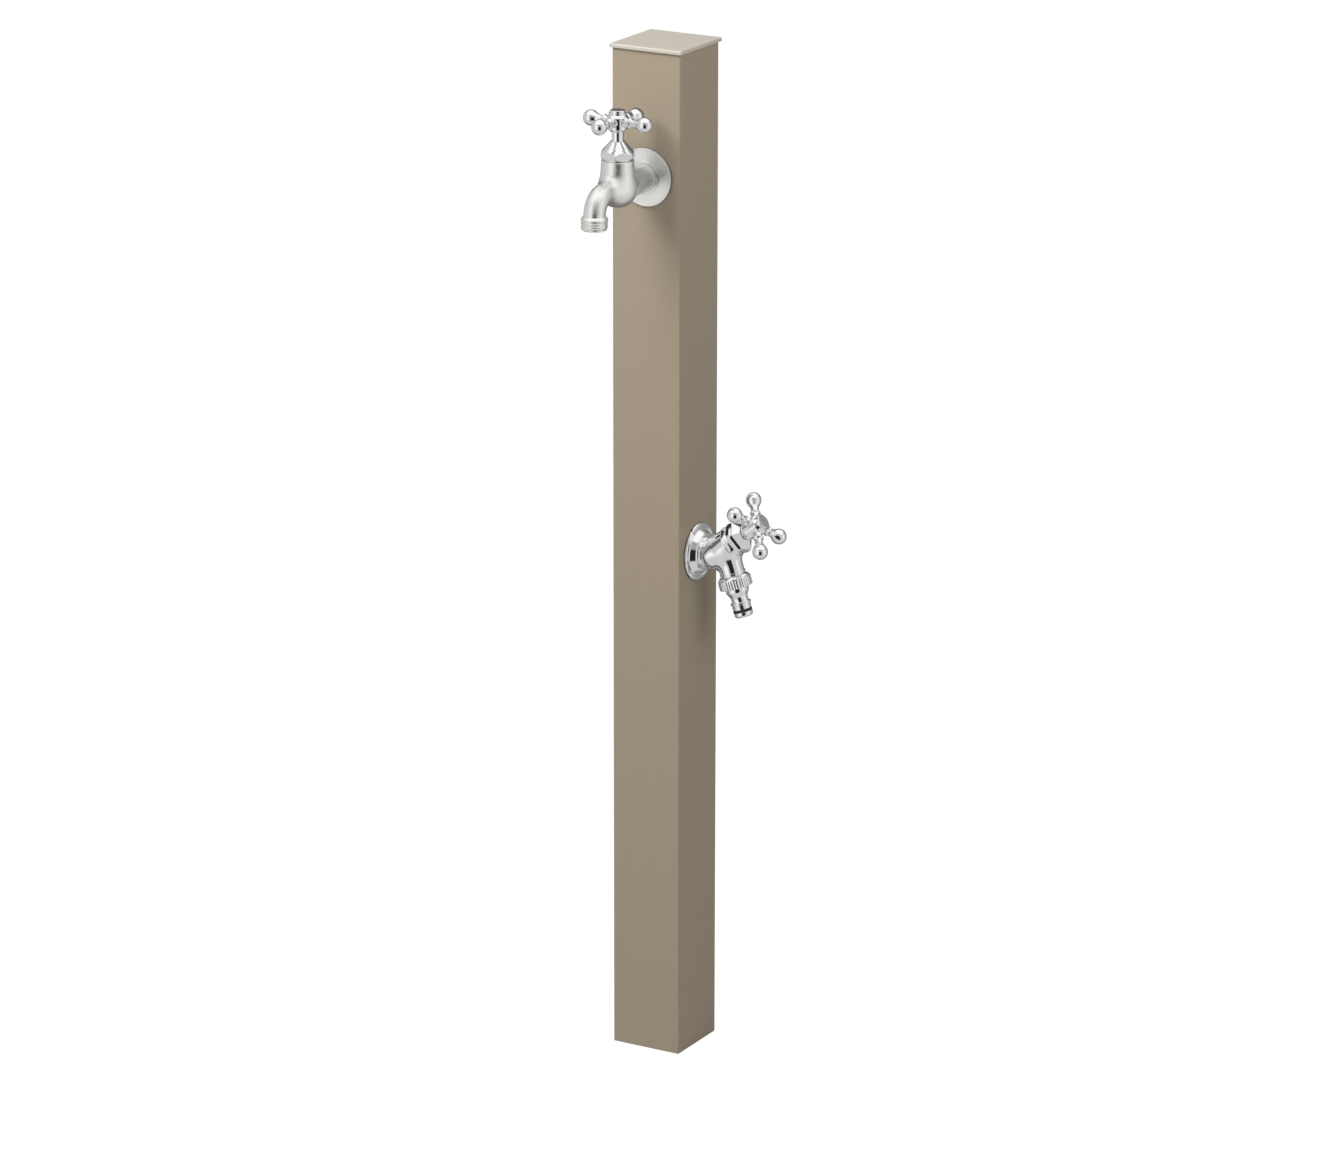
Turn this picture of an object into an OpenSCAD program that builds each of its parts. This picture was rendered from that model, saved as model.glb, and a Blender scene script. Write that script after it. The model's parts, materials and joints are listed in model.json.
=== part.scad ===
// Garden standpipe: a square aluminium post that carries a riser pipe and two
// screw-down taps. The satin tap on the front fills buckets, and the chrome tap
// on the right side has a quick-release hose nipple.
// Millimetres. +Z is up, the front faces -Y, and the origin is the centre of the
// mouth of the water inlet, in the middle of the post's foot.

/* [Post] */
// Width of the square post
post_w = 60; // [58:1:80]
// Height of the post without its cap
post_h = 817; // [780:1:1000]
// Wall of the post
post_wall = 2; // [1.6:0.1:3]
// Radius of the post's outer edges
post_edge_r = 0.9; // [0.4:0.1:1.4]
// How far the cap reaches past the post on each side
cap_overhang = 2; // [1:0.1:5]
// Thickness of the cap's lid
cap_t = 3; // [2.6:0.1:6]
// Rounding of the lid's edges
cap_edge_r = 1.2; // [0.6:0.1:1.2]
// Depth of the cap's skirt inside the post
cap_skirt_h = 14; // [8:1:30]
// Wall of the cap's skirt
cap_skirt_wall = 2; // [1.4:0.1:3]

/* [Pipework] */
// Outside diameter of the riser pipe
pipe_d = 18; // [16:0.5:20]
// Bore of the riser pipe
pipe_bore_d = 13; // [10:0.5:14]
// Wall of the elbow, tee and inlet socket round the pipe
fitting_wall = 3; // [2:0.1:3.6]
// Depth of the pipe sockets in the elbow and tee
socket_depth = 16; // [10:1:20]
// Depth of the inlet socket for the supply pipe
inlet_depth = 26; // [20:1:30]
// Water way in the elbow, tee and taps
water_way_d = 11; // [8:0.5:12]
// Thickness of the plates that fix the elbow and tee to the post
plate_t = 4; // [3:0.1:5]
// Distance of each fixing screw from the tap's axis
screw_reach = 17; // [15.8:0.1:18]
// Shank diameter of the fixing screws
screw_d = 4; // [3:0.1:4.4]
// Head diameter of the fixing screws
screw_head_d = 7.6; // [6.6:0.1:8]
// Height of the foot plug above the foot
foot_plug_z = 8; // [4:1:14]
// Height of the foot plug
foot_plug_h = 18; // [10:1:24]
// Thickness of each pipe spacer
spacer_t = 8; // [5:0.5:14]
// Width of a spacer's arms
spacer_arm_w = 9; // [6:0.5:14]

/* [Places of the taps] */
// Depth of the front tap's axis below the top of the post
upper_drop = 98.5; // [84:0.5:120]
// Height of the side tap's axis above the foot
lower_z = 414.5; // [380:0.5:460]

/* [Inlets and flanges] */
// Inlet thread, outside diameter
inlet_d = 20.9; // [20:0.1:21.2]
// Length of inlet thread inside the elbow or tee
inlet_grip = 12; // [9:0.5:14]
// Wall of the threaded boss round the inlet
boss_wall = 3.4; // [2.4:0.1:3.6]
// Shank of each tap between its flange and its body
shank_d = 22; // [22:0.1:23]
// Diameter of the flanges
flange_d = 46; // [44:0.5:50]
// Thickness of the rubber gasket behind each flange
gasket_t = 0.6; // [0.4:0.1:1.5]
// Rim thickness of the front tap's flange
upper_rim_t = 1.6; // [1:0.1:2.4]
// Thickness of the front tap's flange at its hole
upper_hub_t = 3; // [3:0.1:5]
// Thickness of the side tap's flange at its rim
lower_rim_t = 2; // [1.4:0.1:3]
// Height of the side tap's flange at the foot of its collar
lower_step_t = 6; // [5:0.1:7]
// Height of the side tap's flange at the top of its collar
lower_collar_t = 8.4; // [7.5:0.1:9.4]
// Wall of the side tap's flange
flange_wall = 1.4; // [1:0.1:2]

/* [Headwork of both taps] */
// Bonnet hexagon, across its flats
bonnet_af = 24.4; // [24:0.1:26]
// Length of both bonnets
bonnet_h = 14.6; // [14.2:0.1:16]
// Height at which the bonnets' hexagons end and their cones begin
bonnet_hex_h = 8.6; // [8.2:0.1:9.4]
// Diameter of the front tap's bonnet at its top
upper_bonnet_top_d = 11; // [10.6:0.1:14]
// Diameter of the side tap's bonnet at its top
lower_bonnet_top_d = 14; // [11:0.1:15]
// Diameter of the side tap's bonnet over its rounded corners
lower_bonnet_d = 26.4; // [26:0.1:28]
// Bonnet thread on the bodies, outside diameter
neck_thread_d = 18.6; // [17.8:0.1:19.4]
// Length of the bonnet thread
neck_thread_h = 5; // [4.8:0.1:5.4]
// Neck of the bodies under the bonnet
neck_d = 24.8; // [24.4:0.1:26]
// Spindle stem diameter
stem_d = 9.1; // [8:0.1:9.4]
// Spindle thread, outside diameter
spindle_thread_d = 14.2; // [13.6:0.1:15]
// Valve seat hole diameter
seat_hole_d = 9.6; // [8:0.1:10.4]
// Depth of the valve seat below the bonnet
seat_drop = 17.7; // [17.3:0.1:18.4]
// Jumper and valve washer diameter
jumper_d = 13.2; // [12.4:0.1:13.4]
// Thickness of the rubber valve washer
valve_washer_t = 2.4; // [1.8:0.1:3]
// Thickness of the jumper's disc
jumper_t = 2.2; // [1.8:0.1:3]
// Diameter of the jumper's stem
jumper_stem_d = 4.8; // [3.6:0.1:5.4]
// Length of the jumper's stem
jumper_stem_h = 8; // [5:0.5:10]
// Thickness of the packing washer
packing_washer_t = 1.2; // [0.8:0.1:1.6]
// Height of the spindle packing
packing_h = 3.6; // [2.6:0.1:4.4]
// Full lift of the spindle
lift = 4.5; // [3:0.1:4.8]

/* [Handles] */
// Distance from the front handle's axis to each ball's centre
upper_arm_reach = 24.7; // [23:0.1:30]
// The same distance on the side tap's handle
lower_arm_reach = 24.7; // [22:0.1:30]
// Ball diameter, both handles
ball_d = 12.4; // [10:0.1:13]
// Arm diameter
arm_d = 6.6; // [5:0.1:7]
// Turn of the front tap's cross from square to the post
upper_cross_angle = -4; // [-45:1:45]
// Turn of the side tap's cross from upright
lower_cross_angle = -38.4; // [-60:0.2:60]
// Height of the front tap's hub below its arms
upper_hub_drop = 7.8; // [7.4:0.1:10]
// Height of the side tap's hub below its arms
lower_hub_drop = 11.6; // [10.6:0.1:12.4]
// Height of both hubs above their arms
hub_rise = 6.6; // [6.2:0.1:8]
// Diameter of the hubs at their foot
hub_foot_d = 11.2; // [11:0.1:12.4]
// Diameter of the hubs between their arms
hub_waist_d = 13.4; // [12.8:0.1:14.6]
// Diameter of the hubs' top collar
hub_rim_d = 16.4; // [16:0.1:19]
// Height of the hubs' top collar
hub_collar_h = 2.8; // [2.2:0.1:3]
// Diameter of the buttons on the hubs
button_d = 13; // [12:0.1:13.8]
// How far the front tap's button stands above its hub
upper_button_h = 2.6; // [1.6:0.1:4]
// How far the side tap's button stands above its hub
lower_button_h = 0.8; // [0.4:0.1:2]
// Width of the square that drives the handles
drive_w = 6.2; // [5.4:0.1:6.4]

/* [Front tap] */
// Distance from the post to the front tap's spindle
upper_spindle_x = 43; // [41:0.5:46]
// Distance from the post to the front tap's outlet
upper_outlet_x = 78; // [76:0.5:88]
// Diameter of the round body under the neck
bulb_d = 29.6; // [29:0.2:33]
// Height of the bonnet's foot above the tap's axis
upper_rim_z = 22; // [21.5:0.1:24]
// Height of the handle's arms above the tap's axis
upper_handle_z = 51.6; // [50:0.1:58]
// Depth of the spout's mouth below the tap's axis
upper_mouth_z = 25.9; // [25.4:0.1:34]
// Spout tube diameter
spout_d = 17; // [16.6:0.1:18]
// Drop of the spout's centreline from the tap's axis
spout_axis_drop = 0.8; // [0.6:0.1:1.4]
// Bend radius of the spout's centreline
spout_bend_r = 14.6; // [12:0.1:14.8]
// Bore of the spout
spout_bore_d = 12.6; // [10:0.1:13]
// Hose thread on the spout, outside diameter
hose_thread_d = 20.9; // [20:0.1:22]
// Length of the hose thread
hose_thread_h = 9; // [8:0.1:9.6]

/* [Side tap] */
// Distance from the post to the point where the spindle's axis meets the tap's axis
lower_branch_x = 14.2; // [13.8:0.1:16]
// Tilt of the side tap's spindle from upright
lower_tilt = 53.5; // [52:0.5:55]
// Distance of the bonnet's foot along the spindle's axis
lower_rim_z = 20.2; // [19.6:0.1:21]
// Distance of the handle's arms along the spindle's axis
lower_handle_z = 47.8; // [47.2:0.1:52]
// Distance from the post to the top of the outlet's axis
lower_outlet_x = 27; // [26.6:0.1:28.4]
// Tilt of the outlet from straight down
outlet_tilt = 17.6; // [15:0.2:19]
// Diameter of the outlet above its nut
outlet_d = 19.8; // [19:0.1:20.4]
// Distance of the hose nut's top along the outlet
hose_nut_z = 15.9; // [15.6:0.1:18]
// Bore of the outlet
outlet_bore_d = 11.6; // [10:0.1:12.4]
// Diameter over the hose nut's ribs
hose_nut_d = 26.8; // [26:0.1:29]
// Height of the hose nut
hose_nut_h = 9.8; // [9.4:0.1:12]
// Number of ribs on the hose nut
hose_nut_ribs = 44; // [30:1:52]

/* [Hose nipple] */
// Diameter of the nipple's shoulder
nipple_shoulder_d = 18.6; // [17.6:0.1:18.8]
// Diameter of the nipple's neck
nipple_neck_d = 13.6; // [12.8:0.1:14.4]
// Diameter of the catch ring
nipple_catch_d = 16.4; // [15.8:0.1:17]
// Diameter of the nose
nipple_nose_d = 15; // [14.7:0.1:15.2]
// Bore of the nipple
nipple_bore_d = 9.4; // [7:0.1:10]
// Length of the shoulder outside the nut
nipple_shoulder_h = 3.2; // [2:0.1:5]
// Length of the neck with its taper
nipple_neck_h = 8.5; // [7:0.1:10]
// Length of the catch ring
nipple_catch_h = 1.6; // [1:0.1:2.5]
// Length of the nose
nipple_nose_h = 10.5; // [9.6:0.1:13]
// Thickness of the nipple's flange inside the nut
nipple_flange_t = 1.8; // [1.4:0.1:2.2]
// Thickness of the flat seal in the nut
nipple_seal_t = 1.6; // [1.2:0.1:2]
// Outside diameter of the O-ring
oring_d = 15.5; // [15.4:0.1:15.8]
// Thickness of the O-ring
oring_t = 2.2; // [1.8:0.1:2.4]

/* [Hidden] */
$fn = 48;

// Fits: a fixed fit leaves fit_gap on the radius, a turning or sliding one run_gap
fit_gap = 0.1;
run_gap = 0.05;
// How far a cut runs past the face that it opens
overrun = 1;
half_turn = 180;
quarter = 90;

// Colours
post_grey = [0.62, 0.56, 0.47];
cap_grey = [0.74, 0.70, 0.66];
satin = [0.80, 0.80, 0.79];
chrome = [0.86, 0.87, 0.88];
bronze = [0.72, 0.55, 0.32];
rubber = [0.08, 0.08, 0.08];
pipe_grey = [0.45, 0.46, 0.48];
moulding = [0.22, 0.22, 0.23];
steel = [0.60, 0.61, 0.63];

// Post and pipework
post_inner_w = post_w - 2 * post_wall;
upper_z = post_h - upper_drop;
insert_w = post_inner_w - 2 * fit_gap;
pipe_r = pipe_d / 2;
pipe_bore_r = pipe_bore_d / 2;
socket_bore_r = pipe_r + fit_gap;
socket_r = socket_bore_r + fitting_wall;
way_r = water_way_d / 2;
// Thickness of the stop ring between the two sockets at the foot
stop_t = 3;
inlet_socket_h = inlet_depth + stop_t + socket_depth;
// From a tap's axis to the pipe's stop and to the socket's mouth
pipe_stop = way_r + fit_gap;
socket_mouth = pipe_stop + socket_depth;
riser_z = [inlet_depth + stop_t + fit_gap, lower_z - pipe_stop - fit_gap,
           lower_z + pipe_stop + fit_gap, upper_z - pipe_stop - fit_gap];
// Screws: their heads lie flush in the post's wall
screw_r = screw_d / 2;
screw_head_r = screw_head_d / 2;
head_depth_share = 0.9;
screw_head_t = post_wall * head_depth_share;
plate_end_r = screw_head_r + fit_gap;
drive_slot_w = 1.2;
drive_slot_t = screw_head_t / 2;
// Foot plug and spacers
plug_wall = 2.4;
plug_floor_t = 3;
spacer_wall = 3;

// Inlets
inlet_r = inlet_d / 2;
inlet_reach = post_wall + inlet_grip;
boss_r = inlet_r + boss_wall;
// Room round the inlet in the post's wall
hole_gap = 0.6;
post_hole_r = inlet_r + hole_gap;
shank_r = shank_d / 2;
flange_r = flange_d / 2;
flange_hole_r = inlet_r + fit_gap;
gasket_r = flange_r - hole_gap;
upper_shoulder_x = gasket_t + upper_hub_t;
lower_shoulder_x = gasket_t + lower_rim_t + flange_wall;
// Bevel on the flanges' rims
rim_bevel = 0.8;
collar_r = shank_r + fit_gap + flange_wall;
inlet_bore_r = way_r;

// Headwork heights are measured from the bonnet's foot, along the spindle
bonnet_af_r = bonnet_af / 2;
bonnet_corner_r = bonnet_af_r / cos(30);
// Turn of each bonnet's flats about its spindle
upper_hex_angle = 52;
lower_hex_angle = 33;
stem_r = stem_d / 2;
stem_hole_r = stem_r + run_gap;
thread_r = spindle_thread_d / 2;
thread_hole_r = thread_r + run_gap;
neck_r = neck_d / 2;
neck_thread_r = neck_thread_d / 2;
seat_r = seat_hole_d / 2;
jumper_r = jumper_d / 2;
jumper_stem_r = jumper_stem_d / 2;
seat_wall = 2;
seat_rise = 1;
pillar_r = seat_r + seat_wall;
chamber_r = thread_r + seat_wall;
seat_z = -seat_drop;
washer_z = seat_z + fit_gap;
jumper_z = washer_z + valve_washer_t;
jumper_stem_z = jumper_z + jumper_t + jumper_stem_h;
spindle_z = jumper_z + jumper_t + run_gap;
chamber_floor_z = seat_z - seat_rise;
chamber_top_z = jumper_z + lift;
// Top of the spindle's thread, which stops under the packing washer at full lift
spindle_thread_z = neck_thread_h - lift - 3 * fit_gap;
packing_washer_z = neck_thread_h + fit_gap;
packing_z = packing_washer_z + packing_washer_t + fit_gap;
packing_top_z = packing_z + packing_h;
packing_r = thread_r;
packing_top_r = stem_r + seat_wall / 2;
packing_washer_r = neck_thread_r - fit_gap;

// Handles, measured from the plane of their arms
ball_r = ball_d / 2;
arm_r = arm_d / 2;
hub_rim_r = hub_rim_d / 2;
hub_foot_r = hub_foot_d / 2;
hub_waist_r = hub_waist_d / 2;
hub_collar_z = hub_rise - hub_collar_h;
button_r = button_d / 2;
rim_chamfer = 0.7;
foot_ring_h = 1.2;
button_sink = 2;
screw_pocket_r = 4.4;
screw_pocket_z = -0.6;
handle_screw_r = 2;
handle_screw_head_r = 3.6;
handle_screw_head_t = 2.4;
handle_screw_h = 8;
// Square hole and its floor
drive_gap = 0.1;
drive_hole_w = drive_w + 2 * drive_gap;
drive_floor_t = 2;
drive_top_z = screw_pocket_z - drive_floor_t;
flare_share = 0.62;

// Front tap
bulb_r = bulb_d / 2;
flare_foot_share = 0.97;
// Straight length of the neck under the bonnet
neck_straight_h = 8;
spout_r = spout_d / 2;
spout_bore_r = spout_bore_d / 2;
bend_x = upper_outlet_x - spout_bend_r;
bend_z = -spout_axis_drop - spout_bend_r;
hose_thread_r = hose_thread_d / 2;
hose_thread_z = -upper_mouth_z + hose_thread_h;
thread_chamfer = 1;
// The flare above the hose thread leans at 45 degrees and ends inside the tube
flare_root = 1.2;
flare_top_r = spout_r - flare_root;
flare_top_z = hose_thread_z + hose_thread_r - flare_top_r;
seat_way_drop = 7;
way_bend_x = upper_spindle_x - 2 * pillar_r - seat_wall;
upper_handle_h = upper_handle_z - upper_rim_z;
// Depth of the well under the seat
seat_well = 7.6;
// Port from the valve room to the spout
port_share = 0.7;
port_r = seat_r * port_share;

// Side tap
outlet_r = outlet_d / 2;
// Radius of the knee where the side tap's pipes meet, as a share of the neck's
knee_share = 0.95;
outlet_bore_r = outlet_bore_d / 2;
lower_handle_h = lower_handle_z - lower_rim_z;
lower_chamber_z = lower_rim_z + (chamber_floor_z + chamber_top_z) / 2;
ring_t = 1.8;
ring_step = 0.5;
// Hose nut and what it holds, measured along the outlet
outlet_thread_r = 10.3;
nut_bore_r = outlet_thread_r + fit_gap;
hose_nut_r = hose_nut_d / 2;
hose_nut_end = hose_nut_z + hose_nut_h;
nut_lip_t = 1.7;
nut_top_chamfer = 1.8;
nut_end_chamfer = 1.2;
nut_groove_r = 0.55;
flange_end = hose_nut_end - nut_lip_t - fit_gap;
nipple_flange_z = flange_end - nipple_flange_t;
seal_z = nipple_flange_z - fit_gap - nipple_seal_t;
outlet_end = seal_z - fit_gap;
outlet_collar_t = 1;

// Nipple
nipple_flange_r = outlet_thread_r - fit_gap;
nipple_bore_r = nipple_bore_d / 2;
shoulder_r = nipple_shoulder_d / 2;
nipple_neck_r = nipple_neck_d / 2;
catch_r = nipple_catch_d / 2;
nose_r = nipple_nose_d / 2;
nipple_neck_z = hose_nut_end + nipple_shoulder_h;
catch_z = nipple_neck_z + nipple_neck_h;
nose_z = catch_z + nipple_catch_h;
nose_end = nose_z + nipple_nose_h;
oring_r = oring_d / 2;
oring_half = oring_t / 2;
oring_gap = 0.05;
oring_groove_w = oring_t + 2 * oring_gap;
oring_place_share = 0.5;
oring_z = nose_end - nipple_nose_h * oring_place_share;
nose_round = 1.6;

// Frames: X leaves the post at each tap, and Z runs along each spindle or outlet
module at_front() {
  translate([0, -post_w / 2, upper_z]) rotate([0, 0, -quarter]) children();
}

module at_side() {
  translate([post_w / 2, 0, lower_z]) children();
}

module upper_head() {
  at_front() translate([upper_spindle_x, 0, upper_rim_z]) children();
}

module lower_axis() {
  translate([lower_branch_x, 0, 0]) rotate([0, lower_tilt, 0]) children();
}

module lower_head() {
  at_side() lower_axis() translate([0, 0, lower_rim_z]) children();
}

module outlet_axis() {
  translate([lower_outlet_x, 0, 0]) rotate([0, half_turn - outlet_tilt, 0]) children();
}

module at_outlet() {
  at_side() outlet_axis() children();
}

// A round bar along X from one place to another
module bar_x(r, from, to) {
  translate([from, 0, 0]) rotate([0, quarter, 0]) cylinder(r = r, h = to - from);
}

// A round bar along Z from one height to another
module bar_z(r, from, to) {
  translate([0, 0, from]) cylinder(r = r, h = to - from);
}

// A cone along Z
module cone_z(r1, r2, from, to) {
  translate([0, 0, from]) cylinder(r1 = r1, r2 = r2, h = to - from);
}

// A round bar between two points of the XZ plane
module bar_xz(r, a, b) {
  run = b - a;
  translate([a[0], 0, a[1]])
    rotate([0, atan2(run[0], run[1]), 0])
      cylinder(r = r, h = norm(run));
}

// A body turned from its profile of [radius, height] points
module turned(points) {
  rotate_extrude() polygon(points);
}

// A square box centred on the Z axis
module square_box(w, from, to) {
  translate([-w / 2, -w / 2, from]) cube([w, w, to - from]);
}

// A square outline with round corners
module round_square(w, r) {
  inset = w / 2 - r;
  square([w, w - 2 * r], center = true);
  square([w - 2 * r, w], center = true);
  for (x = [-inset, inset], y = [-inset, inset])
    translate([x, y]) circle(r = r);
}

// Post, cap and foot
module post() {
  color(post_grey)
    difference() {
      linear_extrude(post_h)
        difference() {
          round_square(post_w, post_edge_r);
          square(post_inner_w, center = true);
        }
      at_front() post_holes();
      at_side() post_holes();
    }
}

// The hole for a tap's inlet and two countersunk holes beside it
module post_holes() {
  bar_x(post_hole_r, -post_wall - overrun, overrun);
  at_screws() {
    bar_x(screw_r + fit_gap, -post_wall - overrun, overrun);
    translate([-screw_head_t, 0, 0])
      rotate([0, quarter, 0])
        cylinder(r1 = screw_r + fit_gap, r2 = screw_head_r + fit_gap, h = screw_head_t);
  }
}

module at_screws() {
  for (side = [-1, 1])
    translate([0, side * screw_reach, 0]) children();
}

module top_cap() {
  lid_w = post_w + 2 * cap_overhang;
  inset = lid_w / 2 - cap_edge_r;
  color(cap_grey)
    translate([0, 0, post_h]) {
      linear_extrude(cap_t - cap_edge_r) round_square(lid_w, cap_edge_r);
      square_box(lid_w - 2 * cap_edge_r, 0, cap_t);
      translate([0, 0, cap_t - cap_edge_r])
        for (turn = [0:quarter:3 * quarter])
          rotate([0, 0, turn])
            translate([inset, inset, 0]) {
              sphere(r = cap_edge_r);
              rotate([quarter, 0, 0]) cylinder(r = cap_edge_r, h = 2 * inset);
            }
      difference() {
        square_box(insert_w, -cap_skirt_h, 0);
        square_box(insert_w - 2 * cap_skirt_wall, -cap_skirt_h - overrun, 0);
      }
    }
}

module foot_plug() {
  top = foot_plug_z + foot_plug_h;
  sleeve_r = socket_r + fit_gap;
  color(moulding)
    difference() {
      union() {
        square_box(insert_w, foot_plug_z, foot_plug_z + plug_floor_t);
        difference() {
          square_box(insert_w, foot_plug_z, top);
          square_box(insert_w - 2 * plug_wall, foot_plug_z, top + overrun);
        }
        bar_z(sleeve_r + plug_wall, foot_plug_z, top);
      }
      bar_z(sleeve_r, foot_plug_z - overrun, top + overrun);
    }
}

module inlet_socket() {
  color(pipe_grey)
    difference() {
      bar_z(socket_r, 0, inlet_socket_h);
      bar_z(socket_bore_r, -overrun, inlet_depth);
      bar_z(pipe_bore_r, 0, inlet_socket_h);
      bar_z(socket_bore_r, inlet_depth + stop_t, inlet_socket_h + overrun);
    }
}

// Riser pipe
module riser(from, to) {
  color(pipe_grey)
    difference() {
      bar_z(pipe_r, from, to);
      bar_z(pipe_bore_r, from - overrun, to + overrun);
    }
}

module riser_lower() {
  riser(riser_z[0], riser_z[1]);
}

module riser_upper() {
  riser(riser_z[2], riser_z[3]);
}

module pipe_spacers() {
  color(moulding)
    for (z = [(riser_z[0] + riser_z[1]) / 2, (riser_z[2] + riser_z[3]) / 2])
      translate([0, 0, z - spacer_t / 2])
        difference() {
          union() {
            bar_z(socket_bore_r + spacer_wall, 0, spacer_t);
            for (turn = [0, quarter])
              rotate([0, 0, turn])
                translate([-insert_w / 2, -spacer_arm_w / 2, 0])
                  cube([insert_w, spacer_arm_w, spacer_t]);
          }
          bar_z(socket_bore_r, -overrun, spacer_t + overrun);
        }
}

// Cast elbow or tee behind the post's wall, drawn in a tap's own frame. A way of 0
// has its pipe socket above, and one of half a turn below
module post_fitting(ways) {
  axis_x = -post_w / 2;
  difference() {
    union() {
      bar_x(boss_r, -inlet_reach - seat_wall, -post_wall);
      bar_x(way_r + fitting_wall, axis_x, -inlet_reach);
      translate([-post_wall - plate_t, -screw_reach, -plate_end_r])
        cube([plate_t, 2 * screw_reach, 2 * plate_end_r]);
      at_screws() bar_x(plate_end_r, -post_wall - plate_t, -post_wall);
      translate([axis_x, 0, 0]) {
        sphere(r = socket_r);
        for (way = ways)
          rotate([way, 0, 0]) bar_z(socket_r, 0, socket_mouth);
      }
    }
    bar_x(flange_hole_r, -inlet_reach - fit_gap, 0);
    bar_x(way_r, axis_x, 0);
    at_screws() bar_x(screw_r + fit_gap, -post_wall - plate_t - overrun, 0);
    translate([axis_x, 0, 0]) {
      sphere(r = way_r);
      for (way = ways)
        rotate([way, 0, 0]) {
          bar_z(way_r, 0, socket_mouth);
          bar_z(socket_bore_r, pipe_stop, socket_mouth + overrun);
        }
    }
  }
}

module tap_tee() {
  color(bronze) at_side() post_fitting([0, half_turn]);
}

module tap_elbow() {
  color(bronze) at_front() post_fitting([half_turn]);
}

// Countersunk screws through the post's wall into the plate
module post_screws() {
  at_screws()
    difference() {
      union() {
        bar_x(screw_r, -post_wall - plate_t, 0);
        translate([-screw_head_t, 0, 0])
          rotate([0, quarter, 0]) cylinder(r1 = screw_r, r2 = screw_head_r, h = screw_head_t);
      }
      for (turn = [0, quarter])
        rotate([turn, 0, 0])
          translate([-drive_slot_t, -drive_slot_w / 2, -screw_r])
            cube([drive_slot_t + overrun, drive_slot_w, screw_d]);
    }
}

module tee_screws() {
  color(steel) at_side() post_screws();
}

module elbow_screws() {
  color(steel) at_front() post_screws();
}

// Gaskets and flanges, each drawn in its tap's frame
module gasket() {
  color(rubber)
    difference() {
      bar_x(gasket_r, 0, gasket_t);
      bar_x(post_hole_r, -overrun, gasket_t + overrun);
    }
}

module upper_gasket() {
  at_front() gasket();
}

module lower_gasket() {
  at_side() gasket();
}

module upper_flange() {
  face_r = shank_r + rim_bevel;
  color(satin)
    at_front() translate([gasket_t, 0, 0]) rotate([0, quarter, 0])
      turned([
        [flange_hole_r, 0],
        [flange_r, 0],
        [flange_r, upper_rim_t - rim_bevel],
        [flange_r - rim_bevel, upper_rim_t],
        [face_r, upper_hub_t],
        [flange_hole_r, upper_hub_t]
      ]);
}

module lower_flange() {
  hole_r = shank_r + fit_gap;
  inner_r = flange_r - flange_wall;
  shoulder_r = collar_r + rim_bevel;
  color(chrome)
    at_side() translate([gasket_t, 0, 0]) rotate([0, quarter, 0])
      turned([
        [inner_r, 0],
        [flange_r, 0],
        [flange_r, lower_rim_t - rim_bevel],
        [flange_r - rim_bevel, lower_rim_t],
        [flange_r - 3 * rim_bevel, lower_rim_t + rim_bevel / 2],
        [shoulder_r, lower_step_t],
        [collar_r, lower_step_t],
        [collar_r, lower_collar_t - rim_bevel],
        [collar_r - rim_bevel, lower_collar_t],
        [hole_r, lower_collar_t],
        [hole_r, lower_step_t - flange_wall],
        [shoulder_r, lower_step_t - flange_wall],
        [inner_r - rim_bevel, rim_bevel]
      ]);
}

// Inlet thread and shank of a tap, with the water way through them
module inlet_solid(shoulder_x, to) {
  bar_x(inlet_r, -inlet_reach, shoulder_x);
  bar_x(shank_r, shoulder_x, to);
}

// Neck with the bonnet's thread, and the valve room that is cut into it
module neck_solid(from) {
  bar_z(neck_r, from, 0);
  bar_z(neck_thread_r, from, neck_thread_h);
}

module valve_room() {
  bar_z(chamber_r, chamber_floor_z, chamber_top_z);
  bar_z(thread_hole_r, chamber_floor_z, neck_thread_h + overrun);
}

module seat_pillar(depth) {
  bar_z(pillar_r, seat_z - depth, seat_z);
}

module upper_body() {
  head = [upper_spindle_x, 0, upper_rim_z];
  color(satin)
    at_front()
      difference() {
        union() {
          inlet_solid(upper_shoulder_x, upper_spindle_x);
          translate([upper_spindle_x, 0, 0]) {
            sphere(r = bulb_r);
            cone_z(bulb_r * flare_foot_share, neck_r, 0, upper_rim_z - neck_straight_h);
          }
          translate(head) neck_solid(-upper_rim_z);
          spout_solid();
        }
        difference() {
          union() {
            translate(head) valve_room();
            spout_way();
          }
          translate(head) seat_pillar(upper_rim_z);
        }
        bar_x(inlet_bore_r, -inlet_reach - overrun, way_bend_x);
        translate([0, 0, -fit_gap])
          bar_xz(seat_r, [way_bend_x - seat_wall, 0], [upper_spindle_x, -seat_way_drop]);
        translate([upper_spindle_x, 0, 0])
          bar_z(seat_r, -seat_well - fit_gap, upper_rim_z + seat_z + overrun);
      }
}

// Spout tube: straight out of the bulb, round the bend and down to its thread
module spout_solid() {
  translate([0, 0, -spout_axis_drop]) bar_x(spout_r, upper_spindle_x, bend_x);
  bend(spout_r);
  translate([upper_outlet_x, 0, 0]) {
    bar_z(spout_r, hose_thread_z, bend_z);
    turned([
      [0, -upper_mouth_z],
      [hose_thread_r - thread_chamfer, -upper_mouth_z],
      [hose_thread_r, -upper_mouth_z + thread_chamfer],
      [hose_thread_r, hose_thread_z],
      [flare_top_r, flare_top_z],
      [0, flare_top_z]
    ]);
  }
}

module bend(r) {
  translate([bend_x, 0, bend_z])
    rotate([quarter, 0, 0])
      rotate_extrude(angle = quarter) translate([spout_bend_r, 0]) circle(r = r);
}

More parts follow.
